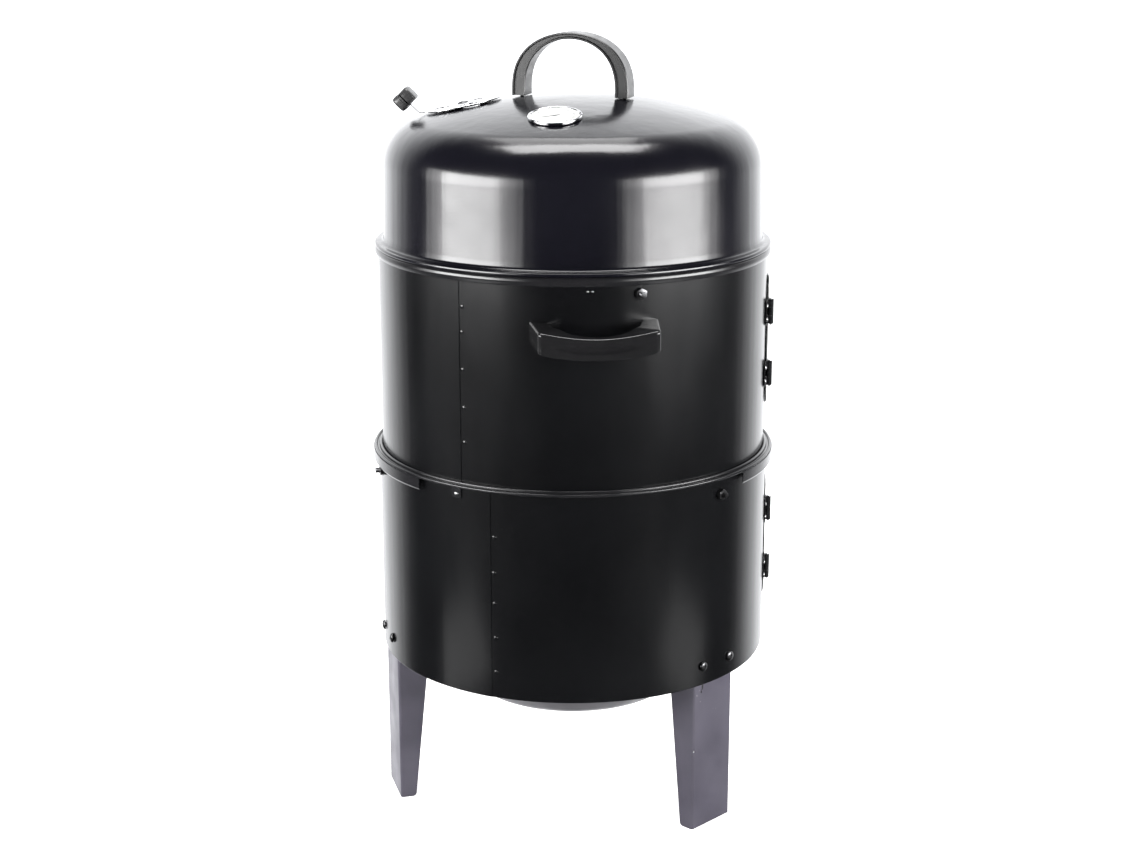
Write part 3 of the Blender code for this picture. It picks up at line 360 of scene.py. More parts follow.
# ---- Materials ----
class Look:
    """A Principled material under construction, in object coordinates of metres."""

    def __init__(self, name, colour, roughness, metallic=0.0, **sockets):
        self.material = bpy.data.materials.new(name)
        self.material.use_nodes = True
        self.nodes = self.material.node_tree.nodes
        self.links = self.material.node_tree.links
        self.shader = self.nodes["Principled BSDF"]
        self.shader.inputs["Base Color"].default_value = (*colour, 1)
        self.shader.inputs["Roughness"].default_value = roughness
        self.shader.inputs["Metallic"].default_value = metallic
        for socket, value in sockets.items():
            self.shader.inputs[socket.replace("_", " ")].default_value = value
        self.coordinates = self.nodes.new("ShaderNodeTexCoord").outputs["Object"]
        self.last_bump = None
        self.material.diffuse_color = (*colour, 1)

    def noise(self, scale, detail=3.0, stretch=(1, 1, 1), rough=0.5):
        mapping = self.nodes.new("ShaderNodeMapping")
        mapping.inputs["Scale"].default_value = stretch
        self.links.new(self.coordinates, mapping.inputs["Vector"])
        texture = self.nodes.new("ShaderNodeTexNoise")
        texture.inputs["Scale"].default_value = scale
        texture.inputs["Detail"].default_value = detail
        texture.inputs["Roughness"].default_value = rough
        self.links.new(mapping.outputs["Vector"], texture.inputs["Vector"])
        return texture.outputs["Fac"]

    def cells(self, scale):
        texture = self.nodes.new("ShaderNodeTexVoronoi")
        texture.inputs["Scale"].default_value = scale
        self.links.new(self.coordinates, texture.inputs["Vector"])
        return texture.outputs["Distance"]

    def spread(self, value, low, high, from_low=0.3, from_high=0.7):
        """Maps a texture's value to a range."""
        node = self.nodes.new("ShaderNodeMapRange")
        node.inputs["From Min"].default_value = from_low
        node.inputs["From Max"].default_value = from_high
        node.inputs["To Min"].default_value = low
        node.inputs["To Max"].default_value = high
        self.links.new(value, node.inputs["Value"])
        return node.outputs["Result"]

    def product(self, first, second, operation="MULTIPLY"):
        node = self.nodes.new("ShaderNodeMath")
        node.operation = operation
        self.links.new(first, node.inputs[0])
        self.links.new(second, node.inputs[1])
        return node.outputs[0]

    def colours(self, value, first, second):
        node = self.nodes.new("ShaderNodeMix")
        node.data_type = "RGBA"
        node.inputs[6].default_value = (*first, 1)
        node.inputs[7].default_value = (*second, 1)
        self.links.new(value, node.inputs[0])
        return node.outputs[2]

    def over(self, value, under, colour):
        """Lays a colour over another one's socket where the value is 1."""
        node = self.nodes.new("ShaderNodeMix")
        node.data_type = "RGBA"
        self.links.new(under, node.inputs[6])
        node.inputs[7].default_value = (*colour, 1)
        self.links.new(value, node.inputs[0])
        return node.outputs[2]

    def colour(self, socket):
        self.links.new(socket, self.shader.inputs["Base Color"])

    def roughness(self, socket):
        self.links.new(socket, self.shader.inputs["Roughness"])

    def bump(self, height, distance, strength=1.0):
        node = self.nodes.new("ShaderNodeBump")
        node.inputs["Strength"].default_value = strength
        node.inputs["Distance"].default_value = distance
        self.links.new(height, node.inputs["Height"])
        if self.last_bump:
            self.links.new(self.last_bump, node.inputs["Normal"])
        self.last_bump = node.outputs["Normal"]
        self.links.new(self.last_bump, self.shader.inputs["Normal"])


def enamel(name, dark, light, gloss, streaks):
    """Baked gloss paint on sheet steel: slow tone changes, orange peel, dust and drawn streaks."""
    look = Look(name, dark, gloss)
    tone = look.colours(look.spread(look.noise(9), 0, 1), dark, light)
    specks = look.spread(look.noise(900, 1), 0, 0.5, 0.74, 0.80)
    look.colour(look.over(specks, tone, tuple(8 * c for c in light)))
    smear = look.noise(14, 4, (1, 1, 0.25))
    look.roughness(look.spread(smear, gloss - 0.035, gloss + 0.05))
    look.bump(look.noise(420, 2), 0.00006, 0.35)
    look.bump(look.noise(55, 2, (1, 1, 0.02)), 0.0010, streaks)
    look.bump(look.noise(11, 2), 0.0030, streaks * 0.6)
    return look.material


def satin_paint(name, dark, light, gloss):
    """Thinner satin paint: fine grain, cloudy gloss and small chips down to the steel."""
    look = Look(name, dark, gloss)
    tone = look.colours(look.spread(look.noise(22, 4), 0, 1), dark, light)
    chips = look.product(
        look.spread(look.noise(260, 2), 0, 1, 0.71, 0.73),
        look.spread(look.noise(18, 1), 0, 1, 0.60, 0.66),
    )
    look.colour(look.over(chips, tone, (0.42, 0.42, 0.44)))
    look.roughness(look.spread(look.noise(35, 4), gloss - 0.06, gloss + 0.08))
    look.bump(look.noise(1400, 2), 0.00005, 0.5)
    look.bump(look.noise(40, 2, (1, 1, 0.15)), 0.0006, 0.10)
    return look.material


def moulded(name, colour, gloss):
    """Injection-moulded plastic: even colour, faint flow marks and fine handling scratches."""
    look = Look(name, colour, gloss)
    look.colour(look.colours(look.noise(30, 3), colour, tuple(1.6 * c for c in colour)))
    look.roughness(look.spread(look.noise(120, 5, (1, 0.15, 1)), gloss - 0.04, gloss + 0.08))
    look.bump(look.noise(260, 2), 0.00004, 0.25)
    look.bump(look.noise(25, 1), 0.0008, 0.10)
    return look.material


def plated(name, light, dark, gloss, streak=(1, 1, 1)):
    """Bare or plated steel: streaked gloss, and a slightly darker tone in patches."""
    look = Look(name, light, gloss, 1.0)
    look.colour(look.colours(look.spread(look.noise(60, 4), 0, 1), light, dark))
    look.roughness(look.spread(look.noise(300, 4, streak), gloss - 0.04, gloss + 0.10))
    look.bump(look.noise(1600, 3, streak), 0.00003, 0.5)
    return look.material


def speckled_enamel(name):
    """Porcelain enamel of the water pan: black with fine pale specks."""
    look = Look(name, (0.010, 0.010, 0.012), 0.16, 0.0, Coat_Weight=0.5)
    specks = look.spread(look.cells(520), 1, 0, 0.10, 0.16)
    base = look.colours(look.noise(20), (0.009, 0.009, 0.011), (0.014, 0.014, 0.016))
    look.colour(look.over(specks, base, (0.30, 0.31, 0.33)))
    look.roughness(look.spread(look.noise(40), 0.12, 0.24))
    look.bump(look.noise(260, 2), 0.0001, 0.4)
    return look.material


def dial_face(name):
    """Printed dial: warm white card with a light grain."""
    look = Look(name, (0.78, 0.78, 0.76), 0.5, 0.0, Coat_Weight=0.6)
    look.colour(look.colours(look.noise(900, 3), (0.80, 0.80, 0.78), (0.72, 0.72, 0.70)))
    look.roughness(look.spread(look.noise(60), 0.42, 0.55))
    look.bump(look.noise(2000, 2), 0.00002, 0.4)
    return look.material


def clear_glass(name):
    look = Look(name, (0.97, 0.98, 0.98), 0.03, 0.0, Alpha=0.10)
    look.roughness(look.spread(look.noise(90, 4), 0.01, 0.06))
    look.bump(look.noise(400, 2), 0.00002, 0.3)
    return look.material


LOOKS = {
    "lid": enamel("lid enamel", (0.0024, 0.0024, 0.0042), (0.0046, 0.0045, 0.0070), 0.185, 0.30),
    "barrel": enamel("barrel enamel", (0.0018, 0.0019, 0.0023), (0.0034, 0.0036, 0.0042), 0.220, 0.16),
    "ring": enamel("ring enamel", (0.0075, 0.0075, 0.0085), (0.0110, 0.0110, 0.0120), 0.200, 0.04),
    "leg": satin_paint("leg paint", (0.050, 0.046, 0.062), (0.070, 0.065, 0.085), 0.37),
    "bowl": satin_paint("bowl paint", (0.046, 0.045, 0.050), (0.070, 0.068, 0.075), 0.34),
    "plastic": moulded("black plastic", (0.0060, 0.0060, 0.0064), 0.15),
    # The lid handle's plastic is the same black moulding made a little lighter: painted sheen for its faces, which
    # look towards the studio's dark front.
    "handle": moulded("handle plastic with painted sheen", (0.0075, 0.0075, 0.0078), 0.30),
    "knob": moulded("knob plastic", (0.0220, 0.0220, 0.0225), 0.34),
    "fastener": plated("blackened steel", (0.16, 0.16, 0.165), (0.060, 0.060, 0.062), 0.30),
    "bright": plated("bright steel", (0.66, 0.66, 0.67), (0.50, 0.50, 0.51), 0.24, (1, 1, 0.1)),
    "chrome": plated("chrome plate", (0.84, 0.84, 0.85), (0.74, 0.74, 0.76), 0.07, (1, 0.2, 1)),
    "pan": speckled_enamel("pan enamel"),
    "dial": dial_face("dial card"),
    "ink": moulded("dial ink", (0.012, 0.012, 0.014), 0.45),
    "glass": clear_glass("dial glass"),
}


# ---- Barrels ----
def lap(seam):
    """Radial offset of a rolled sheet: it rises over its own edge on the near side of the seam."""
    def offset(turn):
        before = (seam - turn) % 360
        return LAP_STEP * math.exp(-before / LAP_FADE) if before < 90 else 0.0
    return offset


def seam_turns(seam):
    even = [seam + 0.02 + 360 * i / ROUND for i in range(ROUND)]
    return even + [seam + 359.98]


def door_opening(panel):
    """Cutter with round corners for the opening behind a door."""
    (first, last), (radius, _), (low, high) = span(panel)
    half = math.radians(last - first) / 2 - DOOR_LAP / radius
    wide, tall = radius * math.sin(half), (high - low) / 2 - DOOR_LAP
    outline = rectangle(wide, tall, DOOR_CORNER * 0.7)
    place = station((first + last) / 2, radius, (low + high) / 2)
    return prism("opening", outline, -0.03, 0.09, "Y", place)


def bolt_places(prefix):
    """Frame of each fastener whose name starts so: its origin on the fastener's axis, outward along it."""
    places = {}
    for node in sorted(frame["nodes"]):
        if not node.startswith(prefix):
            continue
        middle = centre(node)
        turn = azimuth(middle)
        if prefix == "leg_bolt":
            turn = leg_azimuth(node.split("_")[2])
        radial = Matrix.Rotation(math.radians(turn), 4, "Z")
        side = (radial.inverted() @ middle).x
        places[node] = radial @ Matrix.Translation((side, 0, middle.z))
    return places


def barrel(prefix, seam, welds, fasteners):
    """One barrel's rolled wall: lapped seam, door opening, bolt holes and the seam's weld spots."""
    name, node, body = prefix + "_wall", prefix + "_shell", prefix + "_barrel"
    low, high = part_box(node)
    radius = high.x
    foot = [(radius - SHEET, low.z), (radius - SHEET * 0.3, low.z), (radius, low.z + SHEET * 0.5)]
    profile = [*foot, (radius, high.z), (radius - SHEET, high.z)]
    shell = lathe(name, profile, turns=seam_turns(seam), offset=lap(seam))
    cutters = [door_opening(prefix + "_door_panel")]
    for matrix in fasteners:
        cutters.append(drum(HOLE_RADIUS, radius - 0.03, radius + 0.03, matrix @ OUTWARD, 20))
    cut(shell, *cutters)
    wall_normals(shell)
    wear(shell, body, "black_enamel", "barrel", node)
    spots = []
    for i, z in enumerate(welds):
        place = station(seam + 1.0 + 0.2 * math.sin(5 * i), radius, z) @ OUTWARD
        dome = [(0, -0.0004), (WELD_RADIUS, -0.0004), (WELD_RADIUS, 0), (WELD_RADIUS * 0.7, 0.0006),
                (0, 0.0008)]
        spots.append(lathe(name + "_weld_spots", dome, place, 20, sharp=80))
    wear(join(*spots), body, "black_enamel", "barrel")


def leg_azimuth(side):
    foot = next(mount for mount in frame["record"]["mounts"] if mount["name"] == side + "_foot")
    return azimuth(Vector(foot["pos_m"]))


def leg_face():
    foot = frame["record"]["mounts"][0]["pos_m"]
    return math.hypot(foot[0], foot[1]) + LEG_FACE_IN


def connecting_ring():
    """Rolled ring between the barrels: bead at the upper barrel's foot, groove, rolled edge and skirt."""
    low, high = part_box("connecting_ring")
    outer = high.x
    inner_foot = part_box("upper_shell")[1].x
    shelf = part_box("lower_shell")[1].z + 0.0003
    sheet = 0.0013
    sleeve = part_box("lower_shell")[1].x - SHEET - 0.0006
    upstand = inner_foot - SHEET - 0.0006
    edge = 0.0030
    profile = [
        (upstand - sheet, shelf, 0.001),
        (sleeve - sheet, shelf, 0.001),
        (sleeve - sheet, shelf - 0.008),
        (sleeve, shelf - 0.008),
        (sleeve, shelf, 0.0005),
        (outer, shelf, 0.0010),
        (outer, shelf + edge, 0.0014),
        (outer - 0.0026, shelf + edge, 0.0012),
        (outer - 0.0030, shelf + sheet, 0.0008),
        (inner_foot + 0.0036, shelf + sheet, 0.0006),
        (inner_foot + 0.0034, shelf + 0.0048, 0.0014),
        (inner_foot + 0.0004, shelf + 0.0048, 0.0014),
        (inner_foot + 0.0004, shelf + sheet, 0.0004),
        (upstand, shelf + sheet, 0.0005),
        (upstand, high.z),
        (upstand - sheet, high.z),
    ]
    ring = lathe("mid_ring", rounded(profile, True, 4))
    skirt = folded(rounded([(outer - 0.0002, shelf + 0.0004), (outer - 0.0002, low.z + 0.0012, 0.0008),
                            (outer - 0.0011, low.z)]), 0.0011)
    turns = [48.4 + (307.2 - 48.4) * i / 150 for i in range(151)]
    made = join(ring, lathe("skirt", skirt, turns=turns))
    wear(made, "lower_barrel", "black_enamel", "ring", "connecting_ring")

    place = station(-39.9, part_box("lower_shell")[1].x, low.z + 0.0035)
    outline = rounded([(-0.0055, -0.0042, 0.002), (0.0055, -0.0042, 0.002), (0.0055, 0.0085, 0.002),
                       (-0.0055, 0.0085, 0.002)], True)
    tab = prism("ring_tab", outline, -0.0018, -0.0006, "Y", place, 0.0002)
    wear(tab, "lower_barrel", "black_enamel", "ring")
    wear(dome_rivet("ring_tab_rivet", place, 0.0022, 0.0018), "lower_barrel", "bright_steel", "bright")


def dome_rivet(name, matrix, radius, base):
    """Domed rivet head, on a face this far outward from the frame's origin."""
    head = [(0, base - 0.001), (radius, base - 0.001), (radius, base)]
    head += [(radius * math.cos(a), base + radius * 0.62 * math.sin(a)) for a in (0.35, 0.7, 1.05, 1.35)]
    head.append((0, base + radius * 0.62))
    return lathe(name, head, matrix @ OUTWARD, 24, sharp=60)


def top_band():
    """Rolled band round the upper barrel's mouth, with the ledge and the lip that centre the lid."""
    low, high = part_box("top_ring")
    outer = high.x
    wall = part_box("upper_shell")[1].x
    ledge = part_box("lid_shell")[0].z - 0.0003
    sheet = 0.0013
    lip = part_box("lid_shell")[1].x - 0.0117
    profile = [
        (lip - sheet, ledge - sheet, 0.0008),
        (wall + 0.0006, ledge - sheet, 0.0003),
        (wall + 0.0006, low.z + 0.0006, 0.0004),
        (wall + 0.0012, low.z, 0.0006),
        (outer - 0.0010, low.z + 0.0010, 0.0010),
        (outer + 0.0006, low.z + 0.0045, 0.0040),
        (outer - 0.0002, ledge - 0.0016, 0.0020),
        (outer - 0.0018, ledge, 0.0014),
        (lip, ledge, 0.0005),
        (lip, high.z),
        (lip - sheet, high.z),
    ]
    band = lathe("top_band", rounded(profile, True, 5))
    wear(band, "upper_barrel", "black_enamel", "ring", "top_ring")
    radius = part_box("upper_shell")[1].x
    dots = [dome_rivet("band_dimples", station(-1.4 + shift, radius, low.z - 0.0045), 0.0009, 0.0002)
            for shift in (-0.7, 0.7)]
    wear(join(*dots), "upper_barrel", "bright_steel", "bright")


# ---- Lid ----
def lid_profile(depth, high, rim):
    """One face of the drawn lid, this deep below the outside: shoulder to crown."""
    wall = rim - 0.0094
    shoulder = 0.0480
    dome_z = high - LID_DOME
    shoulder_r = wall - 0.0015 - shoulder
    shoulder_z = dome_z + math.sqrt((LID_DOME - shoulder) ** 2 - shoulder_r**2)
    end = math.degrees(math.atan2(shoulder_z - dome_z, shoulder_r))
    path = arc((shoulder_r, shoulder_z), shoulder - depth, 0, end, 22)
    start = shoulder_r * LID_DOME / (LID_DOME - shoulder)
    for i in range(1, 15):
        radius = start * (1 - i / 15)
        path.append((radius, dome_z + math.sqrt((LID_DOME - depth) ** 2 - radius**2)))
    return path + [(0, high - depth)]


def lid_shell():
    low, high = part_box("lid_shell")
    rim = high.x
    wall = rim - 0.0094
    foot = [
        (wall - SHEET, low.z),
        (rim - 0.0006, low.z, 0.0004),
        (rim, low.z + 0.0012, 0.0010),
        (rim - 0.0002, low.z + 0.0032, 0.0012),
        (rim - 0.0022, low.z + 0.0038, 0.0010),
        (wall + 0.0010, low.z + 0.0042, 0.0050),
        (wall - 0.0001, low.z + 0.0120),
    ]
    outside = rounded(foot, False, 6) + lid_profile(0, high.z, rim)
    inside = lid_profile(SHEET, high.z, rim)[::-1]
    shell = lathe("lid", outside + inside, sharp=50)
    cutters = [drum(HOLE_RADIUS, -0.01, 0.01, gauge_place(), 24)]
    cutters += [drum(HOLE_RADIUS, -0.01, 0.01, vent_place(), 24)]
    cutters += [drum(VENT_HOLE_RADIUS, -0.01, 0.01, place, 40) for place in vent_hole_places()]
    for node in ("lid_handle_screw_left", "lid_handle_screw_right"):
        place = Matrix.Translation((*centre(node).xy, 0))
        cutters.append(drum(0.0024, high.z - 0.02, high.z + 0.01, place, 20))
    cut(shell, *cutters)
    shell.data.set_sharp_from_angle(angle=math.radians(50))
    wear(shell, "lid", "black_enamel", "lid", "lid_shell")


def dome_frame(turn, radius):
    """A frame on the lid's top: -Y down the slope, +Z along the outward normal."""
    slope = math.asin(radius / LID_DOME)
    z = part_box("lid_shell")[1].z - LID_DOME * (1 - math.cos(slope))
    return station(turn, radius, z) @ Matrix.Rotation(slope, 4, "X")


def gauge_place():
    """Frame of the thermometer on the dome, found from its dial."""
    middle = centre("thermometer_dial")
    radius = math.hypot(middle.x, middle.y)
    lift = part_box("lid_shell")[1].z - LID_DOME
    return dome_frame(azimuth(middle), LID_DOME * radius / math.hypot(radius, middle.z - lift))


def vent_place():
    turn = joint("vent_turn")
    pos = Vector(turn["pos_m"])
    return dome_frame(azimuth(pos), math.hypot(pos.x, pos.y))


def vent_hole_places():
    places = []
    for i in range(3):
        a = math.radians(VENT_HOLES_FROM + 120 * i)
        shift = (VENT_HOLE_CIRCLE * math.sin(a), VENT_HOLE_CIRCLE * math.cos(a), 0)
        places.append(vent_place() @ Matrix.Translation(shift))
    return places


def lid_handle():
    """Arched moulded strap: thin over the top, wider at the feet, with a channel along both sides."""
    low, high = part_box("lid_handle")
    turn = Matrix.Rotation(math.radians(HANDLE_TURN), 4, "Z")
    local = [turn.inverted() @ vertex.co for vertex in frame["nodes"]["lid_handle"].data.vertices]
    half, depth = max(p.x for p in local), max(p.y for p in local)
    foot_thick, top_thick = 0.0140, 0.0066
    spring = low.z + (high.z - low.z) * 0.08
    foot = low.z + 0.0004

    def face(reach_x, top):
        over = [(reach_x * math.cos(t), spring + (top - spring) * max(0, math.sin(t)) ** 0.8)
                for t in (math.pi * (0.5 - 0.5 * math.cos(math.pi * i / 72)) for i in range(73))]
        risers = [(reach_x, foot + (spring - foot) * i / 3) for i in range(3)]
        return risers + over + [(-x, z) for x, z in risers[::-1]]

    outer, inner = face(half, high.z), face(half - foot_thick, high.z - top_thick)
    rim, deep, soft = 0.0017, 0.0026, 0.0009
    sections = []
    for far, near in zip(outer, inner):
        far, near = Vector(far), Vector(near)
        thick = (far - near).length
        along = (far - near) / thick
        lip = min(rim, thick * 0.26)
        ring = [(soft, depth), (lip, depth), (lip + soft, depth - deep), (thick - lip - soft, depth - deep),
                (thick - lip, depth), (thick - soft, depth), (thick, depth - soft)]
        ring += [(u, -v) for u, v in ring[::-1]]
        ring += [(0, -depth + soft), (0, depth - soft)]
        sections.append([((near + along * u).x, v, (near + along * u).y) for u, v in ring])
    handle = loft("lid_handle_strap", sections, turn, sharp=42)
    # The strap wears the lightened black plastic: painted sheen on its front faces.
    wear(handle, "lid", "black_plastic", "handle", "lid_handle")


def thermometer():
    place = gauge_place()
    radius, lip, height = GAUGE_RADIUS, GAUGE_BEZEL, 0.0032
    recess, stem = 0.0015, 0.0045
    profile = [
        (0, recess), (radius - lip, recess, 0.0003), (radius - lip, height - 0.0008, 0.0005),
        (radius - lip * 0.70, height, 0.0006), (radius - 0.0007, height, 0.0006),
        (radius, height - 0.0008, 0.0006), (radius, 0.0003, 0.0003), (0.0040, 0.0003),
        (0.0040, -0.0455, 0.0012), (0.0022, -0.0487, 0.0010), (0, -0.0487),
    ]
    case = lathe("gauge_case", rounded(profile, False, 5), place, 96)
    wear(case, "lid", "chrome", "chrome", "thermometer_case")
    nut = [(0.0043, -0.0012), (0.0080, -0.0012), (0.0080, -stem), (0.0043, -stem)]
    wear(lathe("gauge_nut", nut, place, 6, sharp=20), "lid", "bright_steel", "bright")
    dial = [(0, 0.0016), (radius - lip - 0.0003, 0.0016), (radius - lip - 0.0003, 0.0021), (0, 0.0021)]
    wear(lathe("gauge_dial", dial, place, 96), "lid", "dial_white", "dial", "thermometer_dial")
    marks = []
    for i in range(GAUGE_STEPS + 1):
        long = i % 5 == 0
        turn = place @ Matrix.Rotation(math.radians(-225 + GAUGE_SWEEP * i / GAUGE_STEPS + 90), 4, "Z")
        near = 0.0158 if long else 0.0176
        wide = 0.00045 if long else 0.00022
        marks.append(block((-wide, near, 0.00205), (wide, GAUGE_MARKS_OUT, 0.00218), turn))
    ring = [(0.0206, 0.00205), (0.0209, 0.00205), (0.0209, 0.00218), (0.0206, 0.00218)]
    marks.append(lathe("gauge_marks", ring, place, 96))
    wear(join(*marks[::-1]), "lid", "dial_white", "ink")
    swing = place @ Matrix.Rotation(math.radians(118), 4, "Z")
    outline = [(-0.0012, -0.0050), (0.0012, -0.0050), (0.0005, 0.0165), (-0.0005, 0.0165)]
    needle = prism("gauge_needle", outline, 0.0022, 0.0024, "Z", swing)
    boss = [(0, 0.0021), (0.0024, 0.0021), (0.0024, 0.0023), (0.0015, 0.0025), (0, 0.0025)]
    hub = lathe("hub", boss, place, 32)
    wear(join(needle, hub), "lid", "black_plastic", "ink")
    pane = [(0, 0.0026), (radius - lip - 0.0001, 0.0026), (radius - lip - 0.0001, 0.0029), (0, 0.0029)]
    wear(lathe("gauge_glass", pane, place, 96), "lid", "dial_white", "glass")


def vent():
    """Chrome damper with its tab, the knob on it, and the rivet it turns on."""
    place = vent_place()
    profile = [(0, 0.0003), (VENT_RADIUS - 0.0015, 0.0003, 0.0003), (VENT_RADIUS, 0.0008, 0.0004),
               (VENT_RADIUS - 0.0004, 0.0017, 0.0005), (VENT_RADIUS - 0.0030, 0.0013, 0.0010),
               (0.0150, 0.0013, 0.002), (0.0125, 0.0019, 0.002), (0, 0.0019)]
    disc = lathe("damper", rounded(profile, False, 4), place, 120)
    cutters = [drum(VENT_HOLE_RADIUS, -0.006, 0.006, hole, 40) for hole in vent_hole_places()]
    cut(disc, drum(HOLE_RADIUS, -0.006, 0.006, place, 24), *cutters)
    angle = math.radians(VENT_TAB_ANGLE)
    bend = VENT_RADIUS + 0.0050
    length = VENT_TAB_LENGTH
    tip = (-bend - math.cos(angle) * length, 0.0003 + math.sin(angle) * length)
    path = rounded([tip, (-bend, 0.0003, 0.006), (-VENT_RADIUS + 0.0040, 0.0003)], False, 8)
    tab = prism("tab", folded(path, SHEET), -VENT_TAB_WIDTH / 2, VENT_TAB_WIDTH / 2, "X", place)
    wear(bevelled(join(disc, tab), 0.0002), "vent_damper", "chrome", "chrome", "vent_disc")

    rivet = [(0, 0.0040), (0.0042, 0.0036, 0.001), (0.0060, 0.0022, 0.0006), (0.0060, 0.0016),
             (BOLT_RADIUS, 0.0016), (BOLT_RADIUS, -0.0020), (0.0060, -0.0020), (0.0060, -0.0034, 0.001),
             (0, -0.0040)]
    head = lathe("damper_rivet", rounded(rivet, False, 4), place, 40)
    cut(head, *cross_recess(0.0030, 0.0030, 0.006, place))
    wear(head, "lid", "dark_fastener", "fastener", "vent_rivet")
    knob(place, angle, bend, length)


def knob(place, angle, bend, length):
    """Rounded moulded knob on the tab, with one raised half, a slot for the tab and a groove on each side."""
    run = Matrix.Translation((0, -bend, 0.0003)) @ Matrix.Rotation(math.pi / 2 - angle, 4, "X")
    where = place @ run @ Matrix.Translation((0, 0, length - 0.0120))
    wide, deep, tall = KNOB_SIZE
    half, thick, tall = wide / 2 + 0.0012, deep / 2 + 0.0014, tall + 0.0008
    levels = [(-1.0, 0.84), (-0.97, 0.90), (-0.90, 0.96), (-0.78, 1.0), (-0.30, 1.0), (-0.27, 0.93),
              (0.78, 0.93), (0.90, 0.89), (0.97, 0.84), (1.0, 0.78)]
    corners = [(-half, 0, 0.0045), (half, 0, 0.0045), (half, tall, 0.0065), (-half, tall, 0.0065)]
    outline = rounded(corners, True, 8)
    sections = []
    for share, size in levels:
        sections.append([(u * size, share * thick, tall / 2 + (v - tall / 2) * size) for u, v in outline])
    made = loft("damper_knob", sections, where, sharp=32)
    clear = VENT_TAB_WIDTH / 2 + 0.0003
    slot = block((-clear, -0.0016, -0.001), (clear, 0.0016, 0.0124), where)
    grooves = []
    for side in (-1, 1):
        x = side * half * 0.80
        grooves.append(block((x - 0.0035, -0.0007, tall * 0.12), (x + 0.0035, 0.0007, tall * 0.88), where))
    cut(made, slot, *grooves)
    made.data.set_sharp_from_angle(angle=math.radians(32))
    wear(made, "vent_damper", "black_plastic", "knob", "vent_knob")


def cross_recess(size, top, reach_up, place):
    """Two crossed cutters for a screwdriver recess in a head whose top is at this height."""
    low = top - 0.0010
    return [block((-size, -0.00055, low), (size, 0.00055, reach_up), place),
            block((-0.00055, -size, low), (0.00055, size, reach_up), place)]


# ---- Doors, hinges and latches ----
def bent_panel(name, radius, thickness, middle, outline, lift):
    """A flat outline of (arc length, z) wrapped round the barrel, with this wall thickness outward."""
    bm = bmesh.new()
    bm.faces.new([bm.verts.new((s, 0, z)) for s, z in outline])
    low = min(s for s, _ in outline)
    wide = max(s for s, _ in outline) - low
    strips = int(wide / 0.0035)
    for i in range(1, strips):
        at = (low + wide * i / strips, 0, 0)
        parts = bm.verts[:] + bm.edges[:] + bm.faces[:]
        bmesh.ops.bisect_plane(bm, geom=parts, plane_co=at, plane_no=(1, 0, 0))
    extruded = bmesh.ops.extrude_face_region(bm, geom=bm.faces[:])
    for vertex in extruded["geom"]:
        if isinstance(vertex, bmesh.types.BMVert):
            vertex.co.y = thickness
    for vertex in bm.verts:
        s, d, z = vertex.co
        a = math.radians(middle) + s / radius
        r = radius + d
        vertex.co = (r * math.sin(a), -r * math.cos(a), z + lift)
    return mesh_object(name, bm)


def door(prefix):
    """Rolled door skin with round corners, the raised hem along its edge, and its latch."""
    panel = prefix + "_door_panel"
    body = prefix + "_door"
    (first, last), _, (low, high) = span(panel)
    middle = (first + last) / 2
    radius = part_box(prefix + "_shell")[1].x + 0.0006
    half = math.radians(last - first) / 2 * radius
    tall = (high - low) / 2
    outline = rectangle(half, tall, DOOR_CORNER, 10)
    skin = bent_panel(prefix + "_door_skin", radius, SHEET, middle, outline, (low + high) / 2)
    latch_place = latch_frame(prefix)
    cut(skin, drum(0.0034, -0.01, 0.01, latch_place @ OUTWARD, 32))
    wall_normals(skin)
    wear(bevelled(skin, 0.00025), body, "black_enamel", "barrel", panel)

    rim = 0.0032
    shift = rim / 2 + 0.0001
    edge = rectangle(half - shift, tall - shift, DOOR_CORNER - shift, 10)
    path = []
    for (s, z), (s2, z2) in zip(edge, edge[1:] + edge[:1]):
        steps = max(1, int(math.hypot(s2 - s, z2 - z) / 0.004))
        path += [(s + (s2 - s) * k / steps, z + (z2 - z) * k / steps) for k in range(steps)]
    sections = []
    for i, (s, z) in enumerate(path):
        ahead, behind = Vector(path[(i + 1) % len(path)]), Vector(path[i - 1])
        along = (ahead - behind).normalized()
        side = Vector((along.y, -along.x))
        ring = []
        for k in range(8):
            t = math.pi * k / 7
            u, lift = rim / 2 * math.cos(t), 0.0009 * math.sin(t)
            at = Vector((s, z)) + side * u
            a = math.radians(middle) + at.x / radius
            r = radius + SHEET + 0.00005 + lift
            ring.append((r * math.sin(a), -r * math.cos(a), at.y + (low + high) / 2))
        sections.append(ring)
    hem = loft(prefix + "_door_hem", sections, caps=False, sharp=60)
    wear(hem, body, "black_enamel", "ring")
    latch(prefix, latch_place)


def latch_frame(prefix):
    turn = joint(prefix + "_latch_turn")
    pos = Vector(turn["pos_m"])
    return station(azimuth(pos), math.hypot(pos.x, pos.y), pos.z)


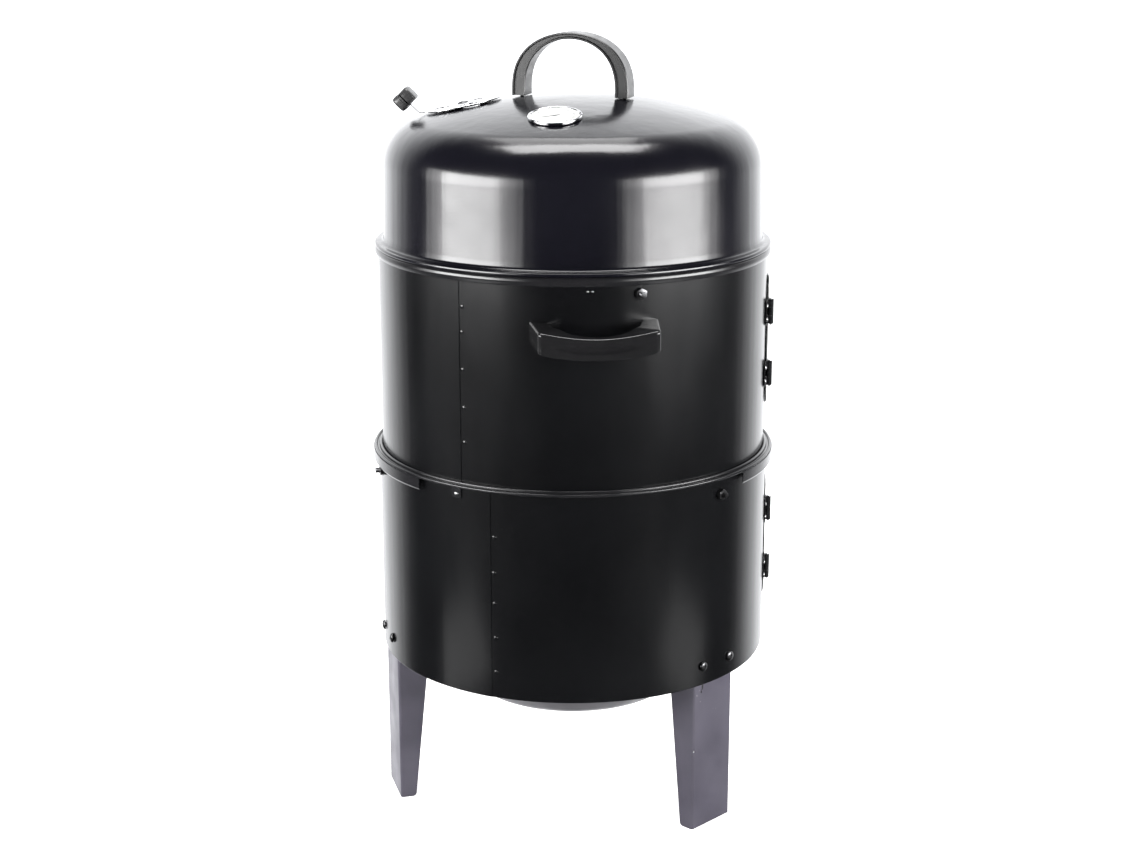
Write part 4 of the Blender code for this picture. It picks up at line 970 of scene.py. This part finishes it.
def latch(prefix, place):
    """Twist latch: oval grip with a pointer on a collar, spindle, and the flat tongue behind the door."""
    node = prefix + "_door_latch"
    low, high = reach(node, place)
    collar_seat, collar_top = 0.0013, 0.0033
    body = prefix + "_latch"
    collar = rounded([(0, collar_seat), (0.0090, collar_seat, 0.0002), (0.0090, collar_top - 0.0006, 0.0006),
                      (0.0078, collar_top, 0.0006), (0, collar_top)], False, 4)
    base = lathe("collar", collar, place @ OUTWARD, 64)
    sections = []
    levels = ((0, 1.12, 1.0), (0.06, 1.04, 1.0), (0.5, 0.86, 0.985), (0.86, 0.80, 0.965), (0.97, 0.66, 0.94),
              (1.0, 0.46, 0.90))
    for share, wide, long in levels:
        out = collar_top - 0.0002 + (high - collar_top + 0.0002) * share
        ring = []
        for k in range(64):
            a = math.tau * k / 64
            c, s = math.cos(a), math.sin(a)
            x = 0.0035 * wide * math.copysign(abs(c) ** 0.6, c)
            z = 0.0130 * long * math.copysign(abs(s) ** 0.55, s)
            ring.append((x, -out, z))
        sections.append(ring)
    grip = loft("grip", sections, place, sharp=50)
    pointer = block((-0.0005, -high - 0.0003, 0.0060), (0.0005, -high + 0.0006, 0.0108), place)
    spindle = drum(0.0030, low + 0.0008, collar_seat + 0.0005, place @ OUTWARD, 32)
    made = join(base, grip, pointer, spindle)
    made.name = prefix + "_latch_grip"
    wear(made, body, "black_plastic", "plastic", node)
    outline = rounded([(-0.0036, -0.0160, 0.0022), (0.0036, -0.0160, 0.0022), (0.0036, 0.0036, 0.0026),
                       (-0.0036, 0.0036, 0.0026)], True, 6)
    tongue = prism(prefix + "_latch_tongue", outline, -low - 0.0015, -low, "Y", place, 0.0002)
    wear(tongue, body, "bright_steel", "bright")


def hinge(prefix, end):
    """Butt hinge with round-cornered leaves, two domed rivets in each, split knuckles and a headed pin."""
    name = f"{prefix}_hinge_{end}_"
    axis = Vector(joint(prefix + "_door_hinge")["pos_m"])
    low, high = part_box(name + "fixed_leaf")[0].z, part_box(name + "fixed_leaf")[1].z
    place = station(azimuth(axis), math.hypot(axis.x, axis.y), (low + high) / 2)
    half, sixth, gap = (high - low) / 2, (high - low) / 6, 0.00025
    wall = -HINGE_AXIS_OUT
    leaf, corner, thick = 0.0150, 0.0028, 0.0010

    def plate(label, sign, base):
        root, tip = sign * 0.0030, sign * leaf
        outline = rounded([(root, -half), (tip, -half, corner), (tip, half, corner), (root, half)], True, 6)
        return prism(label, outline, -base - thick, -base, "Y", place, 0.0002)

    def knuckle(z_low, z_high, sign, base):
        """Rolled eye with the strip that curls into it from the leaf."""
        bore = PIN_RADIUS + 0.0001
        ring = arc((0, 0), KNUCKLE_RADIUS, 0, 360, 28)[:-1]
        hole = arc((0, 0), bore, 0, 360, 28)[:-1]
        bm = bmesh.new()
        rows = [[bm.verts.new((u, v, z)) for u, v in ring_points]
                for ring_points, z in ((ring, z_low), (ring, z_high), (hole, z_high), (hole, z_low))]
        for a, b in zip(rows, rows[1:] + rows[:1]):
            for i in range(28):
                bm.faces.new((a[i], a[(i + 1) % 28], b[(i + 1) % 28], b[i]))
        eye = mesh_object("eye", bm, place)
        path = [(sign * 0.0040, -base), (sign * 0.0026, -base, 0.0010), (sign * 0.0016, 0.0008)]
        strip = folded(rounded(path, False, 4), sign * -thick)
        return eye, prism("strip", strip, z_low, z_high, "Z", place)

    def rivets(label, sign, base):
        spots = []
        for z in (-half * 0.55, half * 0.55):
            spot = place @ Matrix.Translation((sign * 0.0098, 0, z))
            spots.append(dome_rivet(label, spot, 0.0021, base + thick))
        return join(*spots)

    fixed_base = wall + 0.0003
    door_base = wall + 0.0006 + SHEET + 0.0003
    fixed = plate(name + "frame_plate", -1, fixed_base)
    join(fixed, *knuckle(-half, -sixth - gap, -1, fixed_base), *knuckle(sixth + gap, half, -1, fixed_base))
    wear(fixed, prefix + "_barrel", "black_enamel", "ring", name + "fixed_leaf")
    wear(rivets(name + "frame_rivets", -1, fixed_base), prefix + "_barrel", "bright_steel", "bright")
    moving = plate(name + "door_plate", 1, door_base)
    join(moving, *knuckle(-sixth, sixth, 1, door_base))
    wear(moving, prefix + "_door", "black_enamel", "ring", name + "door_leaf")
    wear(rivets(name + "door_rivets", 1, door_base), prefix + "_door", "bright_steel", "bright")
    top = half + PIN_RADIUS
    stem = [(0, -top), (PIN_RADIUS * 0.7, -top, 0.0003), (PIN_RADIUS, -top + 0.0006, 0.0003),
            (PIN_RADIUS, half + 0.0002), (PIN_RADIUS * 1.7, half + 0.0002, 0.0003),
            (PIN_RADIUS * 1.6, top - 0.0002, 0.0006), (0, top)]
    pin = lathe(name + "headed_pin", rounded(stem, False, 4), place, 28)
    wear(pin, prefix + "_barrel", "bright_steel", "bright", name + "pin")


# ---- Legs and fasteners ----
def leg(side):
    """Pressed U-section leg with round bends, tapering flanges and bolt holes."""
    node = "leg_" + side
    low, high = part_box(node)
    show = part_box("lower_shell")[0].z
    half = LEG_WIDTH / 2

    def section(z, depth):
        path = rounded([(-half, depth), (-half, 0, 0.0026), (half, 0, 0.0026), (half, depth)], False, 6)
        return [(x, y, z) for x, y in folded(path, LEG_SHEET)]

    corner = [(low.z + 0.0040 * (1 - math.cos(a)), LEG_FOOT_FLANGE - 0.0040 * (1 - math.sin(a)))
              for a in (0, 0.4, 0.8, 1.2, math.pi / 2)]
    heights = [*corner, (show, LEG_FLANGE), (high.z, LEG_FLANGE)]
    place = station(leg_azimuth(side), leg_face(), 0)
    made = loft(node + "_pressing", [section(*row) for row in heights], place, sharp=30)
    bolts = [matrix for name, matrix in bolt_places("leg_bolt").items() if side in name]
    face = leg_face()
    cut(made, *(drum(HOLE_RADIUS, face - 0.02, face + 0.02, matrix @ OUTWARD, 24) for matrix in bolts))
    wear(bevelled(made, 0.0003), "lower_barrel", "leg_steel", "leg", node)


def chips():
    """Small spots on the front legs where the paint is scratched to bare metal."""
    marks = (("right", 0.017, 0.1555, 0.0011, 0.0038), ("right", 0.0185, 0.1505, 0.0008, 0.0020),
             ("right", 0.0285, 0.0870, 0.0009, 0.0012), ("left", 0.020, 0.1560, 0.0008, 0.0026))
    made = []
    for side, x, z, wide, tall in marks:
        outline = [(wide * math.cos(a) * (1 + 0.35 * math.sin(3 * a + z * 900)), tall * math.sin(a))
                   for a in (math.tau * i / 14 for i in range(14))]
        place = station(leg_azimuth(side), leg_face(), z) @ Matrix.Translation((-x, 0, 0))
        made.append(prism("leg_chips", outline, -0.00006, 0.0004, "Y", place))
    wear(join(*made), "lower_barrel", "bright_steel", "bright")


def threaded(low, high, matrix):
    """Threaded stub along the frame's outward direction, its end chamfered."""
    profile = [(0, low)]
    z = low
    while z < high - THREAD_PITCH:
        profile += [(BOLT_RADIUS * 0.84, z), (BOLT_RADIUS, z + THREAD_PITCH / 2)]
        z += THREAD_PITCH
    profile += [(BOLT_RADIUS * 0.84, z), (BOLT_RADIUS * 0.75, high), (0, high)]
    return lathe("thread", profile, matrix @ OUTWARD, 28, sharp=20)


def hex_nut(low, high, matrix):
    """Hexagonal nut between two depths, its corners turned down at both faces."""
    sides = [(0, low), (NUT_RADIUS, low), (NUT_RADIUS, high), (0, high)]
    nut = lathe("nut", sides, matrix @ OUTWARD, 6, sharp=20)
    flat = NUT_RADIUS * math.cos(math.pi / 6)
    far = NUT_RADIUS * 1.3
    for face, way in ((low, 1), (high, -1)):
        ring = [(flat * 0.99, face - way * 0.002), (far, face - way * 0.002), (far, face + way * 0.0010),
                (flat * 0.99, face - way * 0.0002)]
        cut(nut, lathe("chamfer", ring, matrix @ OUTWARD, 48))
    return nut


def button_head(seat, way, radius, matrix):
    """Round head whose flat side is at the seat, with a screwdriver cross."""
    steps = (0.25, 0.6, 0.95, 1.25)
    top = [(radius * math.cos(a), HEAD_HEIGHT * (0.25 + 0.75 * math.sin(a))) for a in steps]
    profile = [(0, 0), (radius * 0.98, 0), (radius, HEAD_HEIGHT * 0.25), *top, (0, HEAD_HEIGHT)]
    flip = Matrix.Translation((0, -seat, 0)) @ OUTWARD
    if way < 0:
        flip = flip @ Matrix.Rotation(math.pi, 4, "X")
    head = lathe("head", profile, matrix @ flip, 40, sharp=45)
    recess = cross_recess(radius * 0.52, HEAD_HEIGHT + 0.0002, HEAD_HEIGHT + 0.002, matrix @ flip)
    return cut(head, *recess)


def fastener_set(node, body, head, *others):
    """One fastener's head, nut and thread as one piece."""
    made = join(head, *others)
    made.name = node + "_set"
    wear(made, body, "dark_fastener", "fastener", node)


def leg_bolts():
    for node, matrix in bolt_places("leg_bolt").items():
        low, high = reach(node, matrix)
        head = button_head(high - HEAD_HEIGHT, 1, 0.0050, matrix)
        nut = hex_nut(low + NUT_STANDOFF, low + NUT_STANDOFF + NUT_HEIGHT, matrix)
        fastener_set(node, "lower_barrel", head, nut, threaded(low, high - HEAD_HEIGHT, matrix))


def bracket_bolts(prefix):
    for node, matrix in bolt_places(prefix + "_bracket_bolt").items():
        low, high = reach(node, matrix)
        head = button_head(low + HEAD_HEIGHT, -1, 0.0050, matrix)
        nut = hex_nut(high - NUT_STANDOFF - NUT_HEIGHT, high - NUT_STANDOFF, matrix)
        fastener_set(node, prefix + "_barrel", head, nut, threaded(low + HEAD_HEIGHT, high, matrix))


def inside_screws():
    """Screws that hold the side handles and the lid handle, driven from inside."""
    screws = []
    for side in ("front", "rear"):
        for end in ("left", "right"):
            node = f"{side}_handle_screw_{end}"
            matrix = facing(centre(node))
            screws.append((node, "upper_barrel", matrix, *reach(node, matrix)))
    for end in ("left", "right"):
        node = f"lid_handle_screw_{end}"
        low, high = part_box(node)
        up = Matrix.Translation((*centre(node).xy, 0)) @ OUTWARD.inverted()
        screws.append((node, "lid", up, low.z, high.z))
    for node, body, matrix, low, high in screws:
        head = button_head(low + HEAD_HEIGHT * 0.8, -1, 0.0040, matrix)
        fastener_set(node, body, head, threaded_screw(low + 0.002, high, matrix))


def threaded_screw(low, high, matrix):
    """The threaded stub, thinner: a self-tapping screw's."""
    made = threaded(low, high, matrix)
    scale = Matrix.Diagonal((0.70, 1, 0.70, 1))
    made.data.transform(matrix @ scale @ matrix.inverted())
    return made


def bracket(prefix, side):
    """Stepped strip of bright steel that carries the grate, and in the lower barrel the pan too."""
    node = f"{prefix}_bracket_{side}"
    low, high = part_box(node)
    turn = azimuth(centre(f"{prefix}_bracket_bolt_{side}"))
    place = Matrix.Rotation(math.radians(turn), 4, "Z")
    inverse = place.inverted()
    local = [inverse @ vertex.co for vertex in frame["nodes"][node].data.vertices]
    face = -min(p.y for p in local)
    sheet = 0.0015
    levels = sorted({round(p.z, 4) for p in local}, reverse=True)
    depths = sorted({round(face + p.y, 4) for p in local})
    bend = 0.0022
    shelf_z = levels[1] - sheet
    path = [(0, high.z), (0, shelf_z, bend)]
    if prefix == "lower":
        riser = depths[-1] - 0.0150
        path += [(riser, shelf_z, bend), (riser, low.z, bend), (depths[-1], low.z)]
    else:
        path += [(depths[-1], low.z)]
    outline = folded(rounded(path, False, 5), sheet)
    outline = [(u - face, v) for u, v in outline]
    made = prism(node + "_strip", outline, -BRACKET_WIDTH / 2, BRACKET_WIDTH / 2, "X", place)
    bolt = bolt_places(f"{prefix}_bracket_bolt_{side}")
    for matrix in bolt.values():
        cut(made, drum(HOLE_RADIUS, face - 0.02, face + 0.02, matrix @ OUTWARD, 24))
    wear(bevelled(made, 0.00025), prefix + "_barrel", "bright_steel", "bright", node)


# ---- Side handles ----
def spaced(points, count):
    """This many points, evenly spaced along a 2D path."""
    runs = [math.dist(a, b) for a, b in zip(points, points[1:])]
    made, i, passed = [], 0, 0.0
    for k in range(count):
        want = sum(runs) * k / (count - 1)
        while i < len(runs) - 1 and passed + runs[i] < want:
            passed += runs[i]
            i += 1
        share = min(1, (want - passed) / runs[i])
        made.append(tuple(a + (b - a) * share for a, b in zip(points[i], points[i + 1])))
    return made


def side_handle(side, turn):
    """Moulded bail handle: wide feet, and a drooping grip with a lens-shaped groove along its front."""
    node = side + "_handle"
    low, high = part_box(node)
    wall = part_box("upper_shell")[1].x + 0.0003
    front = max(abs(low.y), abs(high.y))
    half, tall, droop, depth = high.x + 0.0012, 0.0212, 0.0080, 0.0024
    outer = [(half, math.sqrt(wall**2 - half**2)), (half - 0.0045, front, 0.0045)]
    inner_half = half - 0.0165
    inner = [(inner_half, math.sqrt(wall**2 - inner_half**2)), (inner_half - 0.0085, front - 0.0118, 0.0300)]
    sides = []
    for path in (outer, inner):
        mirrored = [(-point[0], *point[1:]) for point in path[::-1]]
        sides.append(spaced(rounded(path + mirrored, False, 10), 97))
    sections = []
    for far, near in zip(*sides):
        far, near = Vector(far), Vector(near)
        thick = (far - near).length
        along = (far - near) / thick
        sag = high.z - tall / 2 - droop * (1 - min(1, abs(far.x) / half) ** 2)
        lens = 1 - ((far.x + 0.004) / 0.040) ** 2 if far.y > front - 0.0005 else -1
        corners = [(0, -tall / 2, 0.0022), (thick, -tall / 2, 0.0026), (thick, tall / 2, 0.0026),
                   (0, tall / 2, 0.0022)]
        ring = rounded(corners, True, 5)
        face = [(thick, -tall / 2 + 0.0026 + (tall - 0.0052) * i / 22) for i in range(1, 22)]
        ring = ring[:12] + face + ring[12:]
        section = []
        for u, v in ring:
            if lens > 0 and u > thick - 0.0001:
                across = abs(v) / (0.0044 * lens**0.5)
                u -= depth * max(0, 1 - across**2)
            at = near + along * u
            section.append((at.x, -at.y, v + sag))
        sections.append(section)
    made = loft(node + "_grip", sections, Matrix.Rotation(math.radians(turn), 4, "Z"), sharp=48)
    wear(made, "upper_barrel", "black_plastic", "plastic", node)


# ---- Grates, pan and bowl ----
def grate(name):
    """Plated wire grate: edge ring, cross wires and the two bars under them."""
    node = name + "_grate"
    low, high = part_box(node)
    wire = (high.z - low.z) / 2 * 1.05
    radius = high.x - wire
    z = low.z + wire
    ring = lathe(node + "_wires", [(radius + wire * math.cos(a), z + wire * math.sin(a))
                                   for a in (math.tau * i / 14 for i in range(14))], steps=144)
    pieces = []
    count = int(radius / GRATE_PITCH)
    for i in range(-count, count + 1):
        x = i * GRATE_PITCH
        reach_y = math.sqrt(radius**2 - x**2)
        thin = wire * (0.95 if i % 2 else 0.80)
        turn = Matrix.Translation((x, 0, z)) @ Matrix.Rotation(math.radians(90), 4, "X")
        pieces.append(drum(thin, -reach_y, reach_y, turn, 12))
    for sign in (-1, 1):
        y = sign * radius * 0.42
        reach_x = math.sqrt(radius**2 - y**2)
        turn = Matrix.Translation((0, y, z - wire * 0.1)) @ Matrix.Rotation(math.radians(90), 4, "Y")
        pieces.append(drum(wire * 0.9, -reach_x, reach_x, turn, 12))
    wear(join(ring, *pieces), node, "bright_steel", "bright", node)


def water_pan():
    low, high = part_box("water_pan")
    rim, top, floor = high.x, high.z, low.z + SHEET
    throat, base = rim - 0.0150, rim - 0.0410
    path = [(rim, top - SHEET), (rim, top, 0.0006), (throat, top, 0.0030), (base, floor, 0.0090), (0, floor)]
    profile = folded(rounded(path, False, 8), SHEET)
    profile[len(profile) // 2] = (0, floor - SHEET)
    pan = lathe("water_pan_pressing", profile, steps=144, sharp=50)
    wear(pan, "water_pan", "black_enamel", "pan", "water_pan")


def charcoal_bowl():
    low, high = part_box("charcoal_bowl")
    rim, top, floor, sheet = high.x, high.z, low.z + 0.0012, 0.0012
    throat = rim - 0.0200
    path = [(rim, top - sheet), (rim, top, 0.0006), (throat, top, 0.0035), (0.1460, floor + 0.0420, 0.05),
            (0.1040, floor, 0.035), (0, floor)]
    profile = folded(rounded(path, False, 10), sheet)
    profile[len(profile) // 2] = (0, floor - sheet)
    bowl = lathe("charcoal_bowl_pressing", profile, steps=144, sharp=50)
    holes = [drum(0.0060, -0.02, 0.02, station(360 / BOWL_HOLES * i, 0.0620, floor), 28)
             for i in range(BOWL_HOLES)]
    cut(bowl, *holes)
    bowl.data.set_sharp_from_angle(angle=math.radians(50))
    wear(bowl, "charcoal_bowl", "bowl_steel", "bowl", "charcoal_bowl")


# ---- The whole object ----
def build():
    leg_holes = list(bolt_places("leg_bolt").values())
    lower_holes = leg_holes + list(bolt_places("lower_bracket_bolt").values())
    upper_holes = list(bolt_places("upper_bracket_bolt").values())
    for side in ("front", "rear"):
        for end in ("left", "right"):
            upper_holes.append(facing(centre(f"{side}_handle_screw_{end}")))
    barrel("lower", LOWER_SEAM, LOWER_WELDS, lower_holes)
    barrel("upper", UPPER_SEAM, UPPER_WELDS, upper_holes)
    connecting_ring()
    top_band()
    lid_shell()
    lid_handle()
    thermometer()
    vent()
    for prefix in ("upper", "lower"):
        door(prefix)
        for end in ("top", "bottom"):
            hinge(prefix, end)
        bracket_bolts(prefix)
        for side in ("right", "rear", "left"):
            bracket(prefix, side)
        grate(prefix)
    for side in ("right", "rear", "left"):
        leg(side)
    chips()
    leg_bolts()
    inside_screws()
    side_handle("front", 0)
    side_handle("rear", 180)
    water_pan()
    charcoal_bowl()


# ---- Studio and camera ----
def emitter(name, size, location, target, radiance):
    """Rectangular softbox of this radiance, facing the target."""
    light = bpy.data.lights.new(name, "AREA")
    light.shape = "RECTANGLE"
    light.size, light.size_y = size
    light.energy = radiance * math.pi * size[0] * size[1]
    obj = bpy.data.objects.new(name, light)
    obj.location = location
    obj.rotation_euler = (Vector(target) - Vector(location)).to_track_quat("-Z", "Y").to_euler()
    bpy.context.scene.collection.objects.link(obj)
    return obj


def world_ramp(nodes, links, value, given, made):
    ramp = nodes.new("ShaderNodeMapRange")
    ramp.interpolation_type = "SMOOTHSTEP"
    ramp.inputs["From Min"].default_value, ramp.inputs["From Max"].default_value = given
    ramp.inputs["To Min"].default_value, ramp.inputs["To Max"].default_value = made
    links.new(value, ramp.inputs["Value"])
    return ramp.outputs["Result"]


def studio():
    """Pale surround behind the object, softboxes beside and above it, and the white floor."""
    world = bpy.data.worlds.new("studio")
    bpy.context.scene.world = world
    world.use_nodes = True
    nodes, links = world.node_tree.nodes, world.node_tree.links
    background = nodes["Background"]
    coordinates = nodes.new("ShaderNodeTexCoord")
    split = nodes.new("ShaderNodeSeparateXYZ")
    links.new(coordinates.outputs["Generated"], split.inputs[0])
    along = nodes.new("ShaderNodeVectorMath")
    along.operation = "DOT_PRODUCT"
    back = math.radians(BACK_AZIMUTH)
    along.inputs[1].default_value = (math.sin(back), -math.cos(back), 0)
    links.new(coordinates.outputs["Generated"], along.inputs[0])
    behind = world_ramp(nodes, links, along.outputs["Value"], (0.30, 0.84), (0.0, 1.0))
    level = world_ramp(nodes, links, split.outputs["Z"], (0.45, 0.95), (2.15, 0.8))
    rise = nodes.new("ShaderNodeMath")
    rise.operation = "MULTIPLY_ADD"
    rise.inputs[2].default_value = 0.034
    links.new(behind, rise.inputs[0])
    links.new(level, rise.inputs[1])
    links.new(rise.outputs[0], background.inputs["Strength"])
    background.inputs["Color"].default_value = (0.97, 0.98, 1.0, 1)

    for turn in (-SOFTBOX_TURN, SOFTBOX_TURN):
        a = math.radians(turn + CAMERA_AZIMUTH)
        place = (SOFTBOX_DISTANCE * math.sin(a), -SOFTBOX_DISTANCE * math.cos(a), 0.76)
        emitter("side_softbox", (2.05, 0.66), place, SOFTBOX_AIM, 4.6)
        core = (0.98 * place[0], 0.98 * place[1], 0.745)
        emitter("side_softbox_core", (1.20, 0.55), core, SOFTBOX_AIM, 15.0)
    emitter("top_softbox", (1.50, 0.65), (0, -0.05, 2.3), (0, -0.05, 0), 13.0)
    emitter("top_softbox_rear", (1.10, 0.90), (0, 0.74, 2.3), (0, 0.74, 0), 4.0)
    for turn in (-GLOW_TURN, GLOW_TURN):
        a = math.radians(turn + CAMERA_AZIMUTH)
        place = (GLOW_DISTANCE * math.sin(a), -GLOW_DISTANCE * math.cos(a), 0.01)
        emitter("floor_glow", (0.30, 0.30), place, (place[0], place[1], 1.0), 1.2)

    bm = bmesh.new()
    bmesh.ops.create_grid(bm, x_segments=1, y_segments=1, size=6.0)
    floor = mesh_object("studio_floor", bm)
    look = Look("studio floor", (0.88, 0.88, 0.88), 0.9, 0.0, Emission_Strength=0.80)
    look.shader.inputs["Emission Color"].default_value = (1, 1, 1, 1)
    look.colour(look.colours(look.noise(3), (0.88, 0.88, 0.88), (0.90, 0.90, 0.90)))
    floor.data.materials.append(look.material)
    floor.visible_glossy = False


def camera():
    data = bpy.data.cameras.new("camera")
    data.lens = 63.65
    data.sensor_width = 36
    data.shift_x = -0.0026
    obj = bpy.data.objects.new("camera", data)
    obj.location = (-0.2150, -2.0457, 0.9450)
    obj.rotation_euler = (math.radians(74.82), 0, math.radians(CAMERA_AZIMUTH))
    bpy.context.scene.collection.objects.link(obj)
    bpy.context.scene.camera = obj
    bpy.context.scene.view_settings.view_transform = "Standard"


studio()
camera()
build()
bpy.context.view_layer.update()
